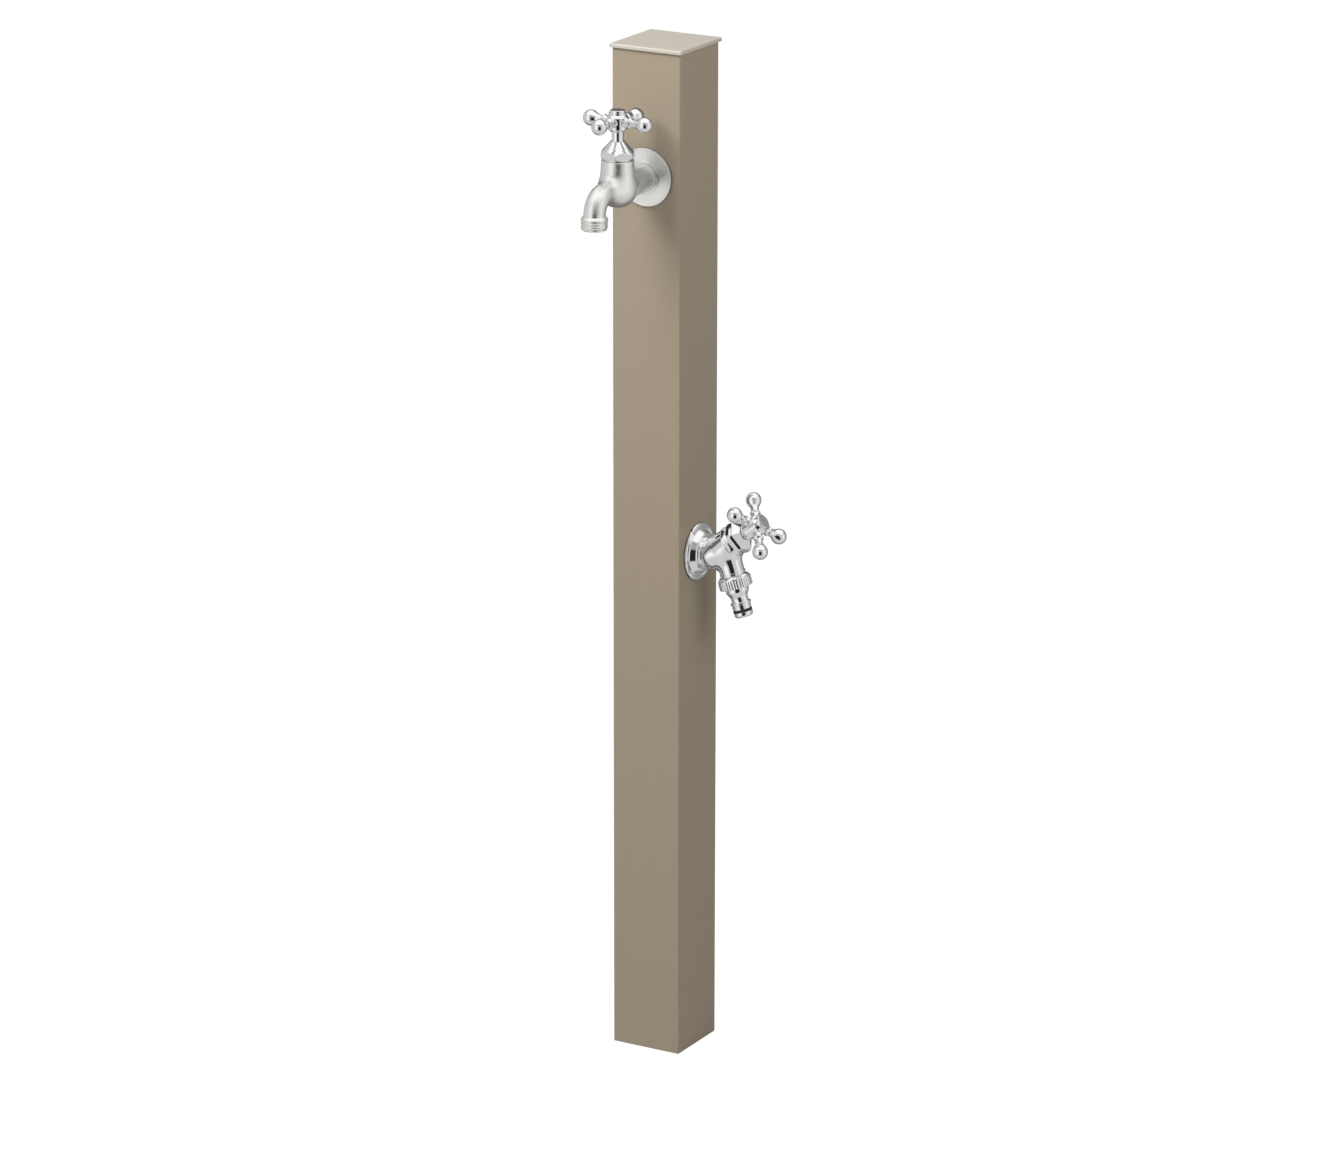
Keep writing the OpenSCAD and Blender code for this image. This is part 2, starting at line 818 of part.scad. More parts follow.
module spout_way() {
  start_x = upper_spindle_x + seat_r;
  translate([0, 0, -spout_axis_drop]) bar_x(spout_bore_r, start_x, bend_x);
  bend(spout_bore_r);
  translate([upper_outlet_x, 0, 0]) bar_z(spout_bore_r, -upper_mouth_z - overrun, bend_z);
  bar_xz(port_r, [start_x, upper_rim_z + (chamber_floor_z + chamber_top_z) / 2],
         [bend_x - port_r, -spout_axis_drop]);
}

module lower_body() {
  color(chrome)
    at_side()
      difference() {
        union() {
          inlet_solid(lower_shoulder_x, lower_branch_x);
          lower_axis() {
            sphere(r = neck_r * knee_share);
            translate([0, 0, lower_rim_z]) neck_solid(-lower_rim_z);
          }
          difference() {
            outlet_axis() outlet_solid();
            lower_axis() bar_z(bonnet_af, lower_rim_z, lower_rim_z + 2 * bonnet_af);
          }
        }
        difference() {
          union() {
            lower_axis() translate([0, 0, lower_rim_z]) valve_room();
            outlet_axis() bar_z(outlet_bore_r, outlet_way_z, outlet_end + overrun);
            bar_xz(seat_r, lower_chamber, outlet_way_start);
          }
          lower_axis() translate([0, 0, lower_rim_z]) seat_pillar(lower_rim_z);
        }
        bar_x(inlet_bore_r, -inlet_reach - overrun, lower_branch_x - seat_r);
        lower_axis() {
          sphere(r = seat_r);
          bar_z(seat_r, -seat_r / 2, lower_rim_z + seat_z + overrun);
        }
        translate([lower_branch_x - 2 * seat_r, 0, 0]) bar_x(seat_r, 0, 2 * seat_r);
      }
}

// Middle of the side tap's valve room, and where the outlet's bore starts
lower_chamber = [lower_branch_x + lower_chamber_z * sin(lower_tilt),
                 lower_chamber_z * cos(lower_tilt)];
outlet_way_z = 4;
outlet_way_start = [lower_outlet_x + outlet_way_z * sin(outlet_tilt),
                    -outlet_way_z * cos(outlet_tilt)];

module outlet_solid() {
  thread_z = hose_nut_z - fit_gap;
  bar_z(outlet_r, -outlet_r / 2, thread_z);
  bar_z(outlet_r + ring_step, thread_z - 2 * outlet_collar_t, thread_z - outlet_collar_t);
  bar_z(outlet_thread_r, thread_z, outlet_end);
}

// Headwork parts, drawn along Z from the bonnet's foot
module bonnet_room() {
  bar_z(neck_thread_r + fit_gap, -overrun, packing_z);
  cone_z(packing_r + fit_gap, packing_top_r + fit_gap, packing_z, packing_top_z + fit_gap);
  bar_z(stem_hole_r, 0, bonnet_h + overrun);
}

// Six flats that lean in from one radius to another between two heights
module lean_flats(r1, r2, from, to) {
  lean = atan2(r1 - r2, to - from);
  for (turn = [0:60:300])
    rotate([0, 0, turn])
      translate([r1, 0, from])
        rotate([0, -lean, 0])
          translate([0, -bonnet_af, -bonnet_af])
            cube([bonnet_af, 2 * bonnet_af, 3 * bonnet_af]);
}

// A bonnet's outside: a turned blank whose flats stand up to the hexagon's top and
// then lean in to the stem. The blank's edges leave round arcs on the flats
module bonnet_solid(foot_z, blank_r, top_r) {
  edge = (blank_r - bonnet_af_r) * bevel_share;
  difference() {
    turned([
      [0, foot_z],
      [bonnet_af_r, foot_z],
      [blank_r, foot_z + edge],
      [blank_r, bonnet_hex_h - edge],
      [bonnet_af_r, bonnet_hex_h],
      [top_r, bonnet_h],
      [0, bonnet_h]
    ]);
    lean_flats(bonnet_af_r, bonnet_af_r, foot_z, bonnet_hex_h);
    lean_flats(bonnet_af_r * waist_share, top_r * flat_share, bonnet_hex_h, bonnet_h);
  }
}
bevel_share = 0.62;
waist_share = 0.96;
flat_share = 0.95;

module upper_bonnet() {
  color(chrome)
    upper_head()
      difference() {
        rotate([0, 0, upper_hex_angle])
          bonnet_solid(0, bonnet_corner_r, upper_bonnet_top_d / 2);
        bonnet_room();
      }
}

module lower_bonnet() {
  ring_r = neck_r + ring_step;
  color(chrome)
    lower_head()
      difference() {
        union() {
          bar_z(ring_r, 0, ring_t);
          bar_z(neck_r, ring_t, 2 * ring_t);
          bar_z(bonnet_af_r * waist_share, 0, 3 * ring_t);
          rotate([0, 0, lower_hex_angle])
            bonnet_solid(2 * ring_t, lower_bonnet_d / 2, lower_bonnet_top_d / 2);
        }
        bonnet_room();
      }
}

module packing() {
  color(rubber)
    difference() {
      cone_z(packing_r, packing_top_r, packing_z, packing_top_z);
      bar_z(stem_hole_r, 0, bonnet_h);
    }
}

module packing_washer() {
  color(bronze)
    difference() {
      bar_z(packing_washer_r, packing_washer_z, packing_washer_z + packing_washer_t);
      bar_z(stem_hole_r, 0, bonnet_h);
    }
}

// Spindle: foot with the jumper's hole, thread, stem and square drive
module spindle(handle_h) {
  square_end = handle_h + drive_top_z - drive_gap;
  hub_foot_z = handle_h - spindle_shoulder;
  color(bronze)
    difference() {
      union() {
        bar_z(thread_r, spindle_z, spindle_thread_z);
        bar_z(stem_r, spindle_z, hub_foot_z);
        square_box(drive_w, hub_foot_z, square_end);
      }
      bar_z(jumper_stem_r + run_gap, spindle_z - overrun, jumper_stem_z + run_gap);
      bar_z(handle_screw_r + fit_gap, square_end - handle_screw_h, square_end + overrun);
    }
}
spindle_shoulder = 6.4;

module jumper() {
  color(bronze) {
    bar_z(jumper_r, jumper_z, jumper_z + jumper_t);
    bar_z(jumper_stem_r, jumper_z, jumper_stem_z);
    bar_z(washer_boss_r, washer_z, jumper_z);
  }
}
washer_boss_r = 1.8;

module valve_washer() {
  color(rubber)
    difference() {
      bar_z(jumper_r, washer_z, jumper_z);
      bar_z(washer_boss_r, washer_z - overrun, jumper_z + overrun);
    }
}

// Handle: turned hub, four arms that flare into balls, and its holes
module handle(reach, drop, turn) {
  foot_z = -drop;
  color(chrome)
    difference() {
      union() {
        turned([
          [0, foot_z],
          [hub_foot_r, foot_z],
          [hub_foot_r, foot_z + foot_ring_h],
          [hub_waist_r, -arm_r],
          [hub_waist_r, hub_collar_z],
          [hub_rim_r, hub_collar_z],
          [hub_rim_r, hub_rise - rim_chamfer],
          [hub_rim_r - rim_chamfer, hub_rise],
          [0, hub_rise]
        ]);
        for (side = [0:quarter:3 * quarter])
          rotate([0, quarter, turn + side]) arm(reach);
      }
      bar_z(stem_r + fit_gap, foot_z - overrun, -spindle_shoulder + fit_gap);
      square_box(drive_hole_w, foot_z, drive_top_z);
      bar_z(handle_screw_r + fit_gap, foot_z, hub_rise);
      bar_z(screw_pocket_r, screw_pocket_z, hub_rise + overrun);
      bar_z(button_r + fit_gap, hub_rise - button_sink, hub_rise + overrun);
    }
}

// One arm along Z: a round bar, a flare and a ball
module arm(reach) {
  flare_z = reach - ball_d;
  join_z = reach - ball_r * flare_share;
  join_r = ball_r * sqrt(1 - flare_share * flare_share);
  bar_z(arm_r, 0, reach);
  cone_z(arm_r, join_r, flare_z, join_z);
  translate([0, 0, reach]) sphere(r = ball_r);
}

module handle_screw() {
  head_z = screw_pocket_z + fit_gap;
  color(steel)
    difference() {
      union() {
        bar_z(handle_screw_head_r, head_z, head_z + handle_screw_head_t);
        bar_z(handle_screw_r, head_z - handle_screw_h, head_z);
      }
      for (turn = [0, quarter])
        rotate([0, 0, turn])
          translate([-handle_screw_r, -drive_slot_w / 2, head_z + handle_screw_head_t / 2])
            cube([2 * handle_screw_r, drive_slot_w, handle_screw_head_t]);
    }
}

module handle_button(height) {
  color(chrome)
    turned([
      [0, hub_rise - button_sink + fit_gap],
      [button_r, hub_rise - button_sink + fit_gap],
      [button_r, hub_rise + height * (1 - button_round_share)],
      [button_r - height * button_round_share, hub_rise + height],
      [0, hub_rise + height]
    ]);
}
button_round_share = 0.3;

module upper_handle_place() {
  upper_head() translate([0, 0, upper_handle_h]) children();
}

module lower_handle_place() {
  lower_head() translate([0, 0, lower_handle_h]) children();
}

module upper_packing() {
  upper_head() packing();
}

module upper_packing_washer() {
  upper_head() packing_washer();
}

module upper_spindle() {
  upper_head() spindle(upper_handle_h);
}

module upper_jumper() {
  upper_head() jumper();
}

module upper_valve_washer() {
  upper_head() valve_washer();
}

module upper_handle() {
  upper_handle_place() handle(upper_arm_reach, upper_hub_drop, upper_cross_angle);
}

module upper_handle_screw() {
  upper_handle_place() handle_screw();
}

module upper_handle_button() {
  upper_handle_place() handle_button(upper_button_h);
}

module lower_packing() {
  lower_head() packing();
}

module lower_packing_washer() {
  lower_head() packing_washer();
}

module lower_spindle() {
  lower_head() spindle(lower_handle_h);
}

module lower_jumper() {
  lower_head() jumper();
}

module lower_valve_washer() {
  lower_head() valve_washer();
}

module lower_handle() {
  lower_handle_place() handle(lower_arm_reach, lower_hub_drop, lower_cross_angle);
}

module lower_handle_screw() {
  lower_handle_place() handle_screw();
}

module lower_handle_button() {
  lower_handle_place() handle_button(lower_button_h);
}

// Hose nut with its ribs
module hose_nut() {
  color(chrome)
    at_outlet()
      difference() {
        turned([
          [0, hose_nut_z],
          [hose_nut_r - nut_top_chamfer, hose_nut_z],
          [hose_nut_r, hose_nut_z + nut_top_chamfer],
          [hose_nut_r, hose_nut_end - 2 * nut_end_chamfer],
          [hose_nut_r - nut_end_chamfer, hose_nut_end],
          [0, hose_nut_end]
        ]);
        bar_z(nut_bore_r, hose_nut_z - overrun, flange_end + fit_gap);
        bar_z(shoulder_r + fit_gap, hose_nut_z, hose_nut_end + overrun);
        for (rib = [0:hose_nut_ribs - 1])
          rotate([0, 0, rib * 2 * half_turn / hose_nut_ribs])
            translate([hose_nut_r + nut_groove_r / 4, 0, 0])
              bar_z(nut_groove_r, hose_nut_z + nut_top_chamfer, hose_nut_end);
      }
}

module nipple_seal() {
  color(rubber)
    at_outlet()
      difference() {
        bar_z(nipple_flange_r, seal_z, seal_z + nipple_seal_t);
        bar_z(outlet_bore_r, seal_z - overrun, seal_z + nipple_seal_t + overrun);
      }
}

module hose_nipple() {
  groove_r = oring_r - oring_t - oring_gap;
  color(chrome)
    at_outlet()
      difference() {
        union() {
          bar_z(nipple_flange_r, nipple_flange_z, flange_end);
          bar_z(shoulder_r, nipple_flange_z, nipple_neck_z);
          cone_z(shoulder_r, nipple_neck_r, nipple_neck_z, nipple_neck_z + nipple_neck_h / 2);
          bar_z(nipple_neck_r, nipple_neck_z, catch_z);
          bar_z(catch_r, catch_z, nose_z);
          bar_z(nose_r, catch_z, nose_end - nose_round);
          cone_z(nose_r, nose_r - nose_round, nose_end - nose_round, nose_end);
        }
        difference() {
          bar_z(nose_r + overrun, oring_z - oring_groove_w / 2, oring_z + oring_groove_w / 2);
          bar_z(groove_r, nipple_flange_z, nose_end);
        }
        bar_z(nipple_bore_r, nipple_flange_z - overrun, nose_end + overrun);
      }
}

module nipple_oring() {
  color(rubber)
    at_outlet() translate([0, 0, oring_z])
      rotate_extrude() translate([oring_r - oring_half, 0]) circle(r = oring_half);
}

post();
top_cap();
foot_plug();
inlet_socket();
pipe_spacers();
riser_lower();
riser_upper();
tap_tee();
tee_screws();
tap_elbow();
elbow_screws();
upper_gasket();
upper_flange();
upper_body();
upper_bonnet();
upper_packing();
upper_packing_washer();
upper_spindle();
upper_jumper();
upper_valve_washer();
upper_handle();
upper_handle_screw();
upper_handle_button();
lower_gasket();
lower_flange();
lower_body();
lower_bonnet();
lower_packing();
lower_packing_washer();
lower_spindle();
lower_jumper();
lower_valve_washer();
lower_handle();
lower_handle_screw();
lower_handle_button();
hose_nut();
nipple_seal();
hose_nipple();
nipple_oring();
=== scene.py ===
# %% [markdown]
# # A garden standpipe with two taps
#
# The real object is a square aluminium post, 82 cm high, that hides a riser pipe. A
# satin plated tap on its front fills buckets, and a chrome plated tap on its right
# side has a nipple for a hose. The CAD model of every piece is already built and is
# loaded here as a fixed frame. This file gives the pieces their finish, and makes
# finer meshes for the castings, handles, nuts and threads that the eye looks at.

# %% Load the frame
import json
import math

import bmesh
import bpy
import numpy as np
from mathutils import Matrix, Vector


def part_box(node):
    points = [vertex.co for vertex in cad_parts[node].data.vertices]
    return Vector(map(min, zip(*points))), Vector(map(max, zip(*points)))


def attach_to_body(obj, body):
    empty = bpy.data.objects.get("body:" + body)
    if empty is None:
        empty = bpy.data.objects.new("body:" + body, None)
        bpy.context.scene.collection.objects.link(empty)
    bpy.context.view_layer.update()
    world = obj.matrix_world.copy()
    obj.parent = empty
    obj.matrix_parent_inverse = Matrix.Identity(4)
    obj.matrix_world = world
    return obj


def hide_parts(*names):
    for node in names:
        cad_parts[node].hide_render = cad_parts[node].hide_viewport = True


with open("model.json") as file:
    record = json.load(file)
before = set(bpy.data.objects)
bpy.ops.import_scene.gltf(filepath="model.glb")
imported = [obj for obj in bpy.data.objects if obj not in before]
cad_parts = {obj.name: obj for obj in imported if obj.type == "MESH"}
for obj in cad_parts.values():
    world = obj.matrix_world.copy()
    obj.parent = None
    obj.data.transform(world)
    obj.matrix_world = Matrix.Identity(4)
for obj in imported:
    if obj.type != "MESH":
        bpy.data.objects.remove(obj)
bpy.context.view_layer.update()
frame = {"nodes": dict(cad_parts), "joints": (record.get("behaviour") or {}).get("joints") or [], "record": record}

MM = 0.001


def in_scene(name, data):
    """A new object with that data, in the scene."""
    piece = bpy.data.objects.new(name, data)
    bpy.context.scene.collection.objects.link(piece)
    return piece


# %% [markdown]
# ## The places that everything else is measured from
#
# Each tap turns its handle about a joint, so the joint says where the spindle is and
# how it leans. A helper turns an origin and two directions into a matrix, and every
# mesh below is drawn in plain coordinates along its own axis and then put in place by
# its matrix. The finished objects stay at the origin, with their place in their mesh.

# %% Frames along the spindles and the outlets
def axes_frame(origin, z_axis, x_hint):
    """A matrix whose Z runs along z_axis, with X as near to x_hint as it can be."""
    z = Vector(z_axis).normalized()
    y = z.cross(Vector(x_hint)).normalized()
    x = y.cross(z)
    turn = Matrix((x, y, z)).transposed().to_4x4()
    return Matrix.Translation(origin) @ turn


def joint_frame(name, x_hint):
    joint = next(j for j in frame["joints"] if j["name"] == name)
    return axes_frame(joint["pos_m"], joint["axis"], x_hint)


OUT_FRONT, OUT_SIDE, UP = (0, -1, 0), (1, 0, 0), (0, 0, 1)
FRONT_HEAD = joint_frame("front_turn", OUT_FRONT)
SIDE_HEAD = joint_frame("side_turn", OUT_SIDE)

# Height of the bonnet's foot along the spindle, from each tap's own axis
FRONT_RIM, SIDE_RIM = 22 * MM, 20.2 * MM
post_low, post_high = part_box("post")
front_z = FRONT_HEAD.translation.z - FRONT_RIM
side_z = (SIDE_HEAD @ Vector((0, 0, -SIDE_RIM))).z
FRONT_TAP = axes_frame((0, post_low.y, front_z), UP, OUT_FRONT)
SIDE_TAP = axes_frame((post_high.x, 0, side_z), UP, OUT_SIDE)

# The side tap's outlet leaves its axis a little way out and leans outwards
OUTLET_FOOT, OUTLET_TILT = Vector((27 * MM, 0, 0)), math.radians(17.6)
OUTLET_DOWN = Vector((math.sin(OUTLET_TILT), 0, -math.cos(OUTLET_TILT)))
OUTLET = axes_frame(SIDE_TAP @ OUTLET_FOOT, OUTLET_DOWN, OUT_SIDE)
print("tap axes at", [round(v, 4) for v in (front_z, side_z)], "m above the foot")

# %% [markdown]
# ## The camera
#
# The photograph was taken with a long lens from the right and above. Its place was
# found by fitting the straight edges of the post and cap, so it is only repeated here.

# %% Camera at the photograph's place
IMAGE_W, FOCAL_PX, SENSOR_W = 1324, 5673.2, 36
FURTHEST_SEEN = 100
CAMERA_AT = Vector((2134.311, -3718.976, 1703.436)) * MM
CAMERA_TURNS = [math.radians(angle) for angle in (29.883, 17.089, 0.056)]


def photo_camera():
    azimuth, elevation, roll = CAMERA_TURNS
    data = bpy.data.cameras.new("photo_camera")
    data.sensor_width = SENSOR_W
    data.lens = SENSOR_W * FOCAL_PX / IMAGE_W
    data.clip_end = FURTHEST_SEEN
    camera = in_scene("photo_camera", data)
    aim = Matrix.Rotation(azimuth, 4, "Z") @ Matrix.Rotation(math.pi / 2 - elevation, 4, "X")
    camera.matrix_world = Matrix.Translation(CAMERA_AT) @ aim @ Matrix.Rotation(roll, 4, "Z")
    return camera


bpy.context.scene.camera = photo_camera()
print("lens", round(bpy.context.scene.camera.data.lens, 2), "mm")

# %% [markdown]
# ## Node trees in a few words
#
# Materials and Geometry Nodes are both trees of nodes. A few helpers keep the script
# short: one adds a node with its values and links, two more give the result of a Math
# node and of a mix of shaders. What many materials share is a node group with named
# inputs, made once.

# %% Helpers for node trees
def add_node(tree, kind, inputs=(), **settings):
    """A node of that kind, with its settings and its input values or links."""
    node = tree.nodes.new(kind)
    for name, value in settings.items():
        setattr(node, name, value)
    for key, value in dict(inputs).items():
        if isinstance(value, bpy.types.NodeSocket):
            tree.links.new(value, node.inputs[key])
        else:
            node.inputs[key].default_value = value
    return node


def worked(tree, operation, *values):
    """The result of a Math node."""
    node = add_node(tree, "ShaderNodeMath", enumerate(values), operation=operation)
    return node.outputs[0]


def mixed_shader(tree, share, first, second):
    return add_node(tree, "ShaderNodeMixShader", {0: share, 1: first, 2: second}).outputs[0]


def new_group(name, kind, inputs, outputs):
    """An empty node group with named sockets, and its two end nodes."""
    tree = bpy.data.node_groups.new(name, kind)
    for socket_name, socket_type, value in inputs:
        socket = tree.interface.new_socket(socket_name, in_out="INPUT", socket_type=socket_type)
        if value is not None:
            socket.default_value = value
    for socket_name, socket_type in outputs:
        tree.interface.new_socket(socket_name, in_out="OUTPUT", socket_type=socket_type)
    return tree, tree.nodes.new("NodeGroupInput"), tree.nodes.new("NodeGroupOutput")


# %% [markdown]
# ## Grain, shared by every finish
#
# No real surface has one even colour or gloss. Hairlines, casting skin and smudges are
# all noise that is stretched and scaled in its own way. One group makes that noise from
# Object coordinates, so it keeps its size in millimetres, and gives a colour that
# varies, a roughness that varies and a height for a Bump node.

# %% Shader group for surface grain
FLOAT, COLOR, VECTOR = "NodeSocketFloat", "NodeSocketColor", "NodeSocketVector"


def grain_group():
    tree, group_in, group_out = new_group(
        "surface_grain",
        "ShaderNodeTree",
        [
            ("Color", COLOR, None),
            ("Stretch", VECTOR, (1, 1, 1)),
            ("Scale", FLOAT, 500),
            ("Detail", FLOAT, 3),
            ("Color Change", FLOAT, 0.1),
            ("Roughness", FLOAT, 0.3),
            ("Roughness Change", FLOAT, 0.1),
        ],
        [("Color", COLOR), ("Roughness", FLOAT), ("Height", FLOAT)],
    )
    place = add_node(tree, "ShaderNodeTexCoord").outputs["Object"]
    stretched = add_node(
        tree,
        "ShaderNodeVectorMath",
        {0: place, 1: group_in.outputs["Stretch"]},
        operation="MULTIPLY",
    )
    noise = add_node(
        tree,
        "ShaderNodeTexNoise",
        {
            "Vector": stretched.outputs[0],
            "Scale": group_in.outputs["Scale"],
            "Detail": group_in.outputs["Detail"],
        },
    ).outputs["Fac"]
    centred = worked(tree, "SUBTRACT", noise, 0.5)

    def varied(base, amount):
        return worked(tree, "ADD", base, worked(tree, "MULTIPLY", centred, amount))

    factor = varied(1.0, group_in.outputs["Color Change"])
    tint = add_node(
        tree,
        "ShaderNodeVectorMath",
        {0: group_in.outputs["Color"], "Scale": factor},
        operation="SCALE",
    )
    tree.links.new(tint.outputs[0], group_out.inputs["Color"])
    roughness = varied(group_in.outputs["Roughness"], group_in.outputs["Roughness Change"])
    tree.links.new(roughness, group_out.inputs["Roughness"])
    tree.links.new(noise, group_out.inputs["Height"])
    return tree


GRAIN = grain_group()
print("shader group", GRAIN.name, "with", len(GRAIN.nodes), "nodes")

# %% [markdown]
# ## The finishes
#
# Each finish is one Principled shader with the grain group in front of it. What is the
# same all over, such as how metallic it is, is set on the shader's own socket. The post
# is brushed along its height, so its grain is stretched along Z until it turns into
# hairlines. The front tap's plating lies over a cast skin, so it has a fine pebbled
# bump, and the side tap is bright chrome with hardly any.

# %% Materials, one for each finish of the record
def finish(name, color, metallic, roughness, grain, bump=0.0, bump_mm=0.02):
    """A material from the grain group. grain is its scale, stretch and changes."""
    material = bpy.data.materials.new(name)
    material.use_nodes = True
    tree = material.node_tree
    shader = tree.nodes["Principled BSDF"]
    shader.inputs["Metallic"].default_value = metallic
    group = add_node(tree, "ShaderNodeGroup", node_tree=GRAIN)
    values = {"Color": (*color, 1), "Roughness": roughness, **grain}
    for socket, value in values.items():
        group.inputs[socket].default_value = value
    tree.links.new(group.outputs["Color"], shader.inputs["Base Color"])
    tree.links.new(group.outputs["Roughness"], shader.inputs["Roughness"])
    if bump:
        relief = add_node(
            tree,
            "ShaderNodeBump",
            {"Strength": bump, "Distance": bump_mm * MM, "Height": group.outputs["Height"]},
        )
        tree.links.new(relief.outputs[0], shader.inputs["Normal"])
    return material


def grain(scale, color_change, roughness_change, stretch=(1, 1, 1), detail=3):
    return {
        "Scale": scale,
        "Stretch": stretch,
        "Detail": detail,
        "Color Change": color_change,
        "Roughness Change": roughness_change,
    }


HAIRLINES = (1, 1, 0.012)
# Each look: colour, metallic, roughness, grain, and how strong and how deep its bump is
LOOKS = {
    "post_aluminium": ((0.40, 0.33, 0.24), 0.20, 0.42, grain(900, 0.10, 0.12, HAIRLINES), 0.12),
    "cap_aluminium": ((0.62, 0.57, 0.50), 0.2, 0.45, grain(700, 0.05, 0.1), 0.05),
    "satin_chrome": ((0.90, 0.90, 0.87), 1.0, 0.33, grain(850, 0.40, 0.25, detail=4), 1.0, 0.20),
    "chrome": ((0.86, 0.86, 0.86), 1.0, 0.06, grain(120, 0.03, 0.05)),
    "cast_bronze": ((0.60, 0.42, 0.20), 1.0, 0.38, grain(900, 0.2, 0.2), 0.3),
    "brass": ((0.72, 0.55, 0.28), 1.0, 0.25, grain(1500, 0.1, 0.1), 0.1),
    "screw_steel": ((0.55, 0.56, 0.58), 1.0, 0.28, grain(1500, 0.1, 0.1), 0.1),
    "rubber": ((0.012, 0.012, 0.012), 0.0, 0.5, grain(1300, 0.4, 0.2), 0.2),
    "pipe_plastic": ((0.16, 0.20, 0.30), 0.0, 0.4, grain(400, 0.1, 0.1), 0.05),
    "moulded_plastic": ((0.05, 0.05, 0.055), 0.0, 0.5, grain(1200, 0.2, 0.15), 0.2),
}
FINISHES = {name: finish(name, *look) for name, look in LOOKS.items()}
SATIN, CHROME = FINISHES["satin_chrome"], FINISHES["chrome"]
print("finishes:", ", ".join(FINISHES))

# %% Finish the CAD pieces that stay
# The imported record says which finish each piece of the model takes
SLOT_OF = {part["node"]: part["material_slot"] for part in frame["record"]["subparts"]}
for node, piece in frame["nodes"].items():
    piece.data.materials.clear()
    piece.data.materials.append(FINISHES[SLOT_OF[node]])
print(len(SLOT_OF), "CAD pieces have their finish")

# %% [markdown]
# ## The studio
#
# The photograph is a plain product shot on white. The floor is one big pale sheet that
# keeps a faint shadow of the post, and the world is a calm grey where it gives light and
# white where the camera or a glass looks at it, so the background is white without
# flooding the object. A large soft lamp stands high on the left and a weaker one on the
# right.

# %% Floor and lamps
WHITE = (1, 1, 1, 1)
FLOOR_SIZE, FLOOR_DROP = 12.0, 0.2 * MM
FLOOR_GREY, FLOOR_GLOW, GLOW_SHARE = (0.5, 0.5, 0.5, 1), 1.32, 0.75
MIDDLE = (0, 0, 0.45)
# Each lamp: where it stands, how wide it is and how many watts it has
LAMPS = {
    "key_lamp": ((-0.6, -1.0, 1.75), 0.9, 28),
    "fill_lamp": ((1.3, -0.4, 1.5), 0.9, 13),
}


def seen_by(tree, *ray_kinds):
    """1 for the named kinds of ray, 0 for the others."""
    path = add_node(tree, "ShaderNodeLightPath")
    shown = path.outputs[ray_kinds[0]]
    for other in ray_kinds[1:]:
        shown = worked(tree, "MAXIMUM", shown, path.outputs[other])
    return shown


def empty_material(name):
    material = bpy.data.materials.new(name)
    material.use_nodes = True
    material.node_tree.nodes.clear()
    return material, material.node_tree


def floor_material():
    """Diffuse for the light, and mostly white glow for the eye."""
    material, tree = empty_material("studio_floor")
    plain = add_node(tree, "ShaderNodeBsdfDiffuse", {"Color": FLOOR_GREY})
    glow = add_node(tree, "ShaderNodeEmission", {"Color": WHITE, "Strength": FLOOR_GLOW})
    shown = seen_by(tree, "Is Camera Ray", "Is Transmission Ray")
    share = worked(tree, "MULTIPLY", shown, GLOW_SHARE)
    surface = mixed_shader(tree, share, plain.outputs[0], glow.outputs[0])
    add_node(tree, "ShaderNodeOutputMaterial", {"Surface": surface})
    return material


def sheet(name, width, height, place, material):
    """A flat rectangle with its place in its mesh."""
    x, y = width / 2, height / 2
    corners = [(-x, -y, 0), (x, -y, 0), (x, y, 0), (-x, y, 0)]
    mesh = bpy.data.meshes.new(name)
    mesh.from_pydata([place @ Vector(corner) for corner in corners], [], [(0, 1, 2, 3)])
    mesh.materials.append(material)
    return in_scene(name, mesh)


def soft_lamp(name, place, size, power):
    """A square lamp that lights the object but isn't mirrored in it as a hard square."""
    data = bpy.data.lights.new(name, "AREA")
    data.size = size
    data.energy = power
    lamp = in_scene(name, data)
    lamp.matrix_world = axes_frame(place, Vector(place) - Vector(MIDDLE), UP)
    lamp.visible_glossy = False


floor_place = Matrix.Translation((0, 0, -FLOOR_DROP))
floor = sheet("studio_floor", FLOOR_SIZE, FLOOR_SIZE, floor_place, floor_material())
floor.visible_glossy = False
for lamp_name, lamp_values in LAMPS.items():
    soft_lamp(lamp_name, *lamp_values)
print("floor and", ", ".join(LAMPS))

# %% A flag that stands for the post in mirrored rays
# In the photograph only the front tap mirrors the post, as a dull dark grey. So mirrored
# rays pass the post itself, and meet a dark flag just under its front face.
FLAG_DEPTH, FLAG_LIGHT, FLAG_TINT = 0.1 * MM, 0.17, (1, 0.93, 0.84, 1)


def front_flag():
    material, tree = empty_material("front_flag")
    glow = add_node(tree, "ShaderNodeEmission", {"Color": FLAG_TINT, "Strength": FLAG_LIGHT})
    add_node(tree, "ShaderNodeOutputMaterial", {"Surface": glow.outputs[0]})
    middle = (0, post_low.y + FLAG_DEPTH, post_high.z / 2)
    place = axes_frame(middle, OUT_FRONT, OUT_SIDE)
    piece = sheet("front_flag", 2 * post_high.x - MM, post_high.z, place, material)
    for ray in ("camera", "diffuse", "transmission", "shadow"):
        setattr(piece, "visible_" + ray, False)


frame["nodes"]["post"].visible_glossy = False
front_flag()
print("a flag under the front face of the post")

# %% [markdown]
# ## What the chrome mirrors
#
# Chrome has no colour of its own: it shows the room. In the photograph that room is a
# white tent, brightest above, greyer below and behind, with a dark opening round the
# camera. That opening is the black spot in every ball and the black line down every
# pipe. So mirrored rays meet a world that is painted in soft patches of light, each with
# a place, a size and a soft edge. They are laid over each other, as flags and soft
# boxes are set up round a real product.

